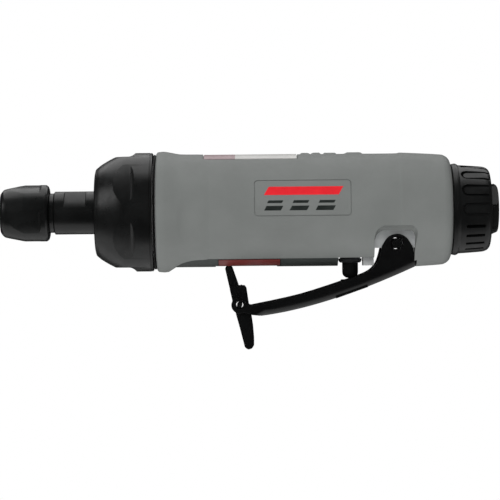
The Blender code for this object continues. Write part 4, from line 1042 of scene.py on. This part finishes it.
def add_pad(lever, below, inside):
    """The pad that pushes the plunger, and the shallow boss pressed out under it."""
    pad_front, pad_rear = PLUNGER_X - 3.1, PLUNGER_X + 4.9
    pad_top = PLUNGER_BOTTOM - 0.5
    carve(lever, plate("lever_pad", filleted([
        (pad_front, height_on(below, pad_front) + 0.6), (pad_rear, height_on(below, pad_rear) + 0.6),
        (pad_rear, pad_top), (pad_front, pad_top)], 0.5), inside - 1.6), "UNION")
    boss_front, boss_rear = PLUNGER_X - 5.0, PLUNGER_X + 5.8
    low, high = height_on(below, boss_front), height_on(below, boss_rear)
    carve(lever, plate("lever_boss", [
        (boss_front, low - 0.12), (boss_rear, high - 0.12), (boss_rear - 0.8, high + 0.8),
        (boss_front + 0.8, low + 1.5)], inside + 0.5, edge=0.2), "UNION")


def pin(name, x, z, radius, half, finish):
    """A headed pin whose rounded ends carry a shallow centre."""
    end = [(half - 0.35, radius), (half - 0.1, radius - 0.12), (half, radius - 0.4),
           (half, radius * 0.55), (half - 0.25, radius * 0.45), (half - 0.35, 0)]
    outline = [*[(-px, r) for px, r in reversed(end)], *end]
    return crosswise(turned(name, outline, finish, facets=64), x, z)


def lever_pin():
    return pin("lever_pin_finished", LEVER_X, LEVER_Z, 1.7, LEVER_HALF, black_steel)


def lock_pin():
    return pin("lock_pin_finished", LOCK_X, LOCK_Z, 0.9, span("lock_pin")[1][1], black_steel)


# ============================ lock lever ======================================

def from_lock_pin(*points):
    """Points measured from the lock pin."""
    return [(LOCK_X + x, LOCK_Z + z) for x, z in points]


def lock_lever():
    half = span("lock_lever")[1][1]
    latch = plate("lock_lever_finished", filleted(from_lock_pin(
        (-3.55, 6.5), (1.7, 6.5), (2.3, 5.7), (3.1, 0.1), (3.8, -2.7), (4.4, -6.9), (4.7, -10.9),
        (4.7, -13.3), (4.0, -14.5), (2.7, -14.9), (1.6, -14.1), (0.0, -7.7), (-1.4, -2.5),
        (-2.0, -0.4)), 1.2), half, paint, edge=0.3)
    inside = half - 1.3
    carve(latch, plate("lock_channel", from_lock_pin(
        (-2.25, 6.1), (6.6, 6.1), (6.6, -13.5), (3.0, -13.5), (1.3, -7.7), (0.0, -2.7),
        (-5.4, -2.7), (-5.4, 2.7), (-1.6, 2.7)), inside))
    bar = plate("lock_bar", filleted(from_lock_pin(
        (-4.75, 12.1), (-4.4, 12.9), (-3.6, 13.2), (-2.8, 13.15), (-2.3, 12.6), (-0.4, 7.1),
        (-0.2, 6.1), (-3.2, 5.1)), 0.6), 2.6, edge=0.25)
    carve(latch, bar, "UNION")
    carve(latch, plate("lock_top_opening", from_lock_pin(
        (0.1, 7.1), (6.6, 7.1), (6.6, 5.1), (0.1, 5.1)), inside))
    carve(latch, pin_hole("lock_hole", LOCK_X, LOCK_Z, 1.2))
    return latch


def lock_spring():
    half = 1.05
    points = [(LOCK_X + 0.7, -half, LOCK_Z + 6.7), (LOCK_X - 0.8, -half, LOCK_Z + 2.5)]
    coil_r = 1.65
    first, last, steps = 160, 270 + 3 * 360, 90
    for step in range(steps + 1):
        angle = math.radians(first + (last - first) * step / steps)
        points.append((LOCK_X + coil_r * math.cos(angle), half * (2 * step / steps - 1),
                       LOCK_Z + coil_r * math.sin(angle)))
    points.append((LOCK_X + 6.2, half, LOCK_Z - coil_r))
    return wire("lock_spring_finished", points, 0.25, spring_wire)


# ============================ valve group =====================================

def valve_plunger():
    top, bottom = PLUNGER_TOP, PLUNGER_BOTTOM
    shoulder = span("plunger_seal")[0][2] - 2.7
    crown = smooth([(bottom, 0.6), (bottom + 0.12, 1.3), (bottom + 0.5, PLUNGER_R - 0.7),
                    (bottom + 1.15, PLUNGER_R - 0.18), (bottom + 2.0, PLUNGER_R)])
    item = turned("valve_plunger_finished", [
        (bottom, 0), *crown, (shoulder, PLUNGER_R), (shoulder, PLUNGER_R - 0.9),
        (top, PLUNGER_R - 0.9), (top, 0)], plastic, facets=96)
    return upright(item, PLUNGER_X)


def plunger_bushing():
    low, high = span("plunger_bushing")[0][2], span("plunger_bushing")[1][2]
    barrel_r, flange_r = PLUNGER_R + 0.75, PLUNGER_R + 1.25
    dome = smooth([(low, flange_r - 0.75), (low + 0.15, flange_r - 0.4), (low + 0.6, flange_r - 0.1),
                   (low + 1.1, flange_r)])
    item = turned("plunger_bushing_finished", [
        (low, PLUNGER_R + 0.3), *dome, (UNDERSIDE_Z - 0.3, flange_r), (UNDERSIDE_Z - 0.3, barrel_r),
        (high, barrel_r), (high, PLUNGER_R + 0.3)], phosphated, facets=96)
    return upright(item, PLUNGER_X)


# ============================ rear end ========================================

def exhaust_deflector():
    front, rear = KNOB_FRONT, KNOB_REAR
    hub_r, hole_r = 8.1, HEX / math.cos(math.pi / 6) + 1.18
    outside = smooth([(front + 2.4, KNOB_R), (front + 5.0, KNOB_R - 0.14), (rear - 3.0, KNOB_R - 0.5),
                      (rear - 1.7, KNOB_R - 0.75), (rear - 0.8, KNOB_R - 1.2),
                      (rear - 0.2, KNOB_R - 1.95), (rear, KNOB_R - 2.7)])
    collar = filleted([(front, KNOB_R - 1.0), (front, KNOB_R + 0.35), (front + 1.3, KNOB_R + 0.6),
                       (front + 1.9, KNOB_R + 0.35), (front + 2.3, KNOB_R - 0.1)], 0.3)[5:-5]
    knob = turned("exhaust_deflector_finished", [
        (front, hub_r + 1.4), *collar, *outside, (rear, hole_r + 0.3), (rear - 0.3, hole_r),
        (rear - 1.6, hole_r), (rear - 1.6, KNOB_R - 3.2), (front + 3.0, KNOB_R - 2.6),
        (front + 3.0, hub_r), (front + 1.4, hub_r), (front + 1.4, hub_r + 1.4)], plastic, facets=192)
    carve_flutes(knob)
    hole = rod("exhaust_hole", front - 1, front + 4, 0.9, 24)
    hole.data.transform(Matrix.Translation((0, (9.4 + KNOB_R - 2.7) / 2 * MM, 0)))
    carve(knob, round_spindle(hole, 8, 22.5, 45))
    vent = filleted([(front + 4.2, -0.55), (rear - 2.4, -0.55), (rear - 2.4, 0.55),
                     (front + 4.2, 0.55)], 0.5)
    for side in (-1, 1):
        cutter = plate("vent", vent, 3.4, at=side * (KNOB_R - 0.6))
        carve(knob, round_spindle(cutter, 5, -24 * side, -14 * side))
    return knob


def carve_flutes(knob):
    """Flutes with round front ends, each with a deeper moat round a raised tongue."""
    rear = KNOB_REAR
    flute_front = KNOB_FRONT + 2.7
    half, tongue = 2.1, 1.25
    pocket = plate("flute", [(rear + 2, half), *arc((flute_front + half, 0), half, 90, 270, 16),
                             (rear + 2, -half)], 2.0, at=-(KNOB_R - 0.55 + 2.0))
    moat = plate("flute_moat", [
        (rear + 2, half), *arc((flute_front + half, 0), half, 90, 270, 16), (rear + 2, -half),
        (rear + 2, -tongue), *arc((flute_front + half, 0), tongue, 270, 90, 16),
        (rear + 2, tongue)], 2.0, at=-(KNOB_R - 1.5 + 2.0))
    carve(knob, round_spindle(pocket, 8, 1, -26))
    carve(knob, round_spindle(moat, 8, 1, -26))


def inlet_bushing():
    collar_front = KNOB_FRONT + 3.4
    collar_rear = collar_front + 1.6
    corner_r = HEX / math.cos(math.pi / 6) + 0.18
    thread_r, throat_r, bore_r = 6.8, 4.2, 5.7
    socket_floor = INLET_END - 11.0
    pitch = 1.41           # quarter-inch pipe thread
    threads = []
    for turn in range(6):
        start = INLET_END - 0.9 - turn * pitch
        threads += [(start, bore_r + 0.05), (start - pitch * 0.35, bore_r + 0.6),
                    (start - pitch * 0.5, bore_r + 0.6), (start - pitch * 0.9, bore_r + 0.05)]
    bushing = turned("inlet_bushing_finished", [
        (INLET_FRONT, throat_r), (INLET_FRONT, thread_r), (COVER_REAR - 0.3, thread_r),
        (COVER_REAR - 0.3, 7.8), (collar_front, 7.8), (collar_front, 9.4), (collar_rear, 9.4),
        (collar_rear, corner_r), (INLET_END - 1.3, corner_r), (INLET_END - 0.7, corner_r - 0.45),
        (INLET_END - 0.1, HEX - 0.1), (INLET_END, HEX - 0.4), (INLET_END, bore_r + 0.7),
        (INLET_END - 0.6, bore_r + 0.05), *threads, (socket_floor, bore_r),
        (socket_floor, throat_r)], black_steel, facets=144)
    flat = plate("inlet_flat", [(collar_rear + 0.8, HEX), (INLET_END + 1, HEX),
                                (INLET_END + 1, HEX + 4), (collar_rear + 0.8, HEX + 4)], HEX + 4)
    return carve(bushing, round_spindle(flat, 6, -7, 60))


def inlet_screen():
    front = span("inlet_screen")[0][0]
    disc = turned("inlet_screen_finished", [
        (front, 0), (front, 5.3), (front + 0.1, 5.4), (front + 0.7, 5.4), (front + 0.8, 5.3),
        (front + 0.8, 0)], bright_steel, facets=64)
    for copies, circle in ((1, 0.0), (6, 1.75), (12, 3.5)):
        hole = rod("screen_hole", front - 1, front + 2, 0.55, 16)
        hole.data.transform(Matrix.Translation((0, circle * MM, 0)))
        carve(disc, round_spindle(hole, copies, 0, 360 / copies))
    return disc


# ============================ stage ===========================================

def studio():
    """Pale floor well below, soft lights above and below, and the camera from the side."""
    bpy.context.scene.view_settings.view_transform = "Standard"
    studio_floor()
    studio_world()
    studio_lights()
    studio_camera()


def studio_floor():
    builder = bmesh.new()
    bmesh.ops.create_grid(builder, x_segments=1, y_segments=1, size=1.4)
    bmesh.ops.translate(builder, verts=builder.verts, vec=(0, 0, -0.30))
    paper = Finish("white_studio_paper", Roughness=0.9, Specular_IOR_Level=0.1)
    paper.colours(paper.noise(40.0), (0.3, "efefef"), (0.7, "f4f4f4"))
    floor = to_object("studio_floor", builder, paper.item)
    floor.visible_glossy = False


def studio_world():
    """White behind the tool, and a dim room round it that black surfaces hardly mirror."""
    world = bpy.data.worlds.new("studio")
    bpy.context.scene.world = world
    world.use_nodes = True
    tree = world.node_tree
    tree.nodes.clear()
    seen = add(tree, "ShaderNodeLightPath")
    mixed = add(tree, "ShaderNodeMixShader", links={0: seen.outputs["Is Camera Ray"]})
    unlit = add(tree, "ShaderNodeMixShader", links={0: seen.outputs["Is Glossy Ray"]})
    room, dark_room, backdrop = [
        add(tree, "ShaderNodeBackground", {"Color": linear("ffffff"), "Strength": strength})
        for strength in (0.30, 0.03, 1.0)]
    tree.links.new(room.outputs[0], unlit.inputs[1])
    tree.links.new(dark_room.outputs[0], unlit.inputs[2])
    tree.links.new(unlit.outputs[0], mixed.inputs[1])
    tree.links.new(backdrop.outputs[0], mixed.inputs[2])
    add(tree, "ShaderNodeOutputWorld", links={"Surface": mixed.outputs[0]})


def studio_lights():
    """Soft boxes; the front one only fills, without a highlight of its own."""
    for name, place, size, power, in_highlights in (
            ("overhead_softbox", (0.0, 0.3, 0.75), (1.2, 1.2), 5.4, True),
            ("front_softbox", (-0.1, -1.1, 0.25), (0.8, 0.5), 7.0, False),
            ("side_softbox", (-0.75, -0.3, 0.35), (0.4, 0.4), 0.8, True),
            ("low_bounce", (0.0, 0.05, -0.28), (1.2, 0.45), 0.9, True)):
        light = bpy.data.lights.new(name, "AREA")
        light.shape = "RECTANGLE"
        light.size, light.size_y = size
        light.energy = power
        lamp = bpy.data.objects.new(name, light)
        bpy.context.scene.collection.objects.link(lamp)
        lamp.location = place
        lamp.rotation_euler = (-Vector(place)).to_track_quat("-Z", "Y").to_euler()
        lamp.visible_glossy = in_highlights


def studio_camera():
    """Level camera on the -Y side, a little below the spindle axis."""
    distance, below_axis, roll, field = 0.82, 12.9, 0.55, 166.7
    camera_data = bpy.data.cameras.new("camera")
    camera_data.sensor_width = 36.0
    camera_data.lens = 36.0 * distance / (field * MM)
    camera = bpy.data.objects.new("camera", camera_data)
    bpy.context.scene.collection.objects.link(camera)
    camera.location = (0, -distance, -below_axis * MM)
    camera.rotation_euler = (math.pi / 2, math.radians(roll), 0)
    bpy.context.scene.camera = camera


# ============================ assembly ========================================

black_steel, paint = black_oxide_steel(), black_paint()
# The band's darker nylon is partly its own colour and partly painted shade under the grip.
composite, charcoal = grey_composite(), dark_composite()
plastic, rubber = black_plastic(), black_rubber()
aluminium, bright_steel, spring_wire = cast_aluminium(), ground_steel(), spring_steel()
phosphated, iron, yellow_brass = phosphated_steel(), cast_iron(), brass()
laminate, paper_gasket, wool_felt = phenolic(), gasket_paper(), felt()
print_red = printed("red_ink", "df1f2a", "ee2630")
print_dark = printed("charcoal_ink", "1c211f", "262b29")
print_white = printed("white_film", "c2c1be", "cccbc8")
print_pink = printed("faded_red_film", "967f82", "a58e91")
print_dull_red = printed("dull_red_film", "6f2c2a", "7a3330")

# Each finished piece: maker, body, the frame's node that it stands for, and its slot.
PIECES = [
    (collet_nut, "collet_nut", "collet_nut", "black_steel"),
    (collet, "collet", "collet", "ground_steel"),
    (spindle, "rotor", "collet_body", "black_steel"),
    (clamp_nut, "housing", "clamp_nut", "black_steel"),
    (cap_ring, "housing", "cap_ring", "black_rubber"),
    (housing_cover, "housing", "housing_cover", "grey_composite"),
    (throttle_lever, "throttle_lever", "throttle_lever", "black_paint"),
    (lock_lever, "lock_lever", "lock_lever", "black_paint"),
    (lock_spring, "throttle_lever", "lock_spring", "ground_steel"),
    (valve_plunger, "valve_plunger", "valve_plunger", "black_plastic"),
    (plunger_bushing, "housing", "plunger_bushing", "ground_steel"),
    (exhaust_deflector, "exhaust_deflector", "exhaust_deflector", "black_plastic"),
    (inlet_bushing, "housing", "inlet_bushing", "black_steel"),
    (inlet_screen, "housing", "inlet_screen", "ground_steel"),
    (lever_pin, "housing", "lever_pin", "black_steel"),
    (lock_pin, "throttle_lever", "lock_pin", "black_steel")]

# Nodes that stay as they are, by the finish that each takes.
CARRIED = [
    (aluminium, ("motor_housing",)),
    (bright_steel, ("bearing_spacer", "cylinder_pin", "rotor", "throttle_valve",
                    "front_bearing_outer_race", "front_bearing_inner_race",
                    "rear_bearing_outer_race", "rear_bearing_inner_race")),
    (spring_wire, ("valve_spring",)),
    (iron, ("cylinder", "front_end_plate", "rear_end_plate")),
    (yellow_brass, ("front_bearing_cage", "rear_bearing_cage", "valve_seat")),
    (laminate, ("rotor_blade_1", "rotor_blade_2", "rotor_blade_3", "rotor_blade_4", "rotor_blade_5")),
    (paper_gasket, ("rear_gasket",)),
    (wool_felt, ("muffler_felt",)),
    (rubber, ("plunger_seal", "deflector_seal"))]


def assemble():
    for maker, body, node, slot in PIECES:
        piece = maker()
        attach(piece, body)
        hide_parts(node)
    header, field, lower = labels()
    for piece, slot in ((header, "label_white"), (field, "label_white"), (lower, "label_red")):
        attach(piece, "housing")
    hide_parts("top_label")
    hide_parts("underside_label")
    for piece in grip_graphics():
        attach(piece, "housing")


def finish_carried_nodes():
    for finish, nodes in CARRIED:
        for name in nodes:
            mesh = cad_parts[name].data
            mesh.materials.clear()
            mesh.materials.append(finish)


assemble()
finish_carried_nodes()
studio()
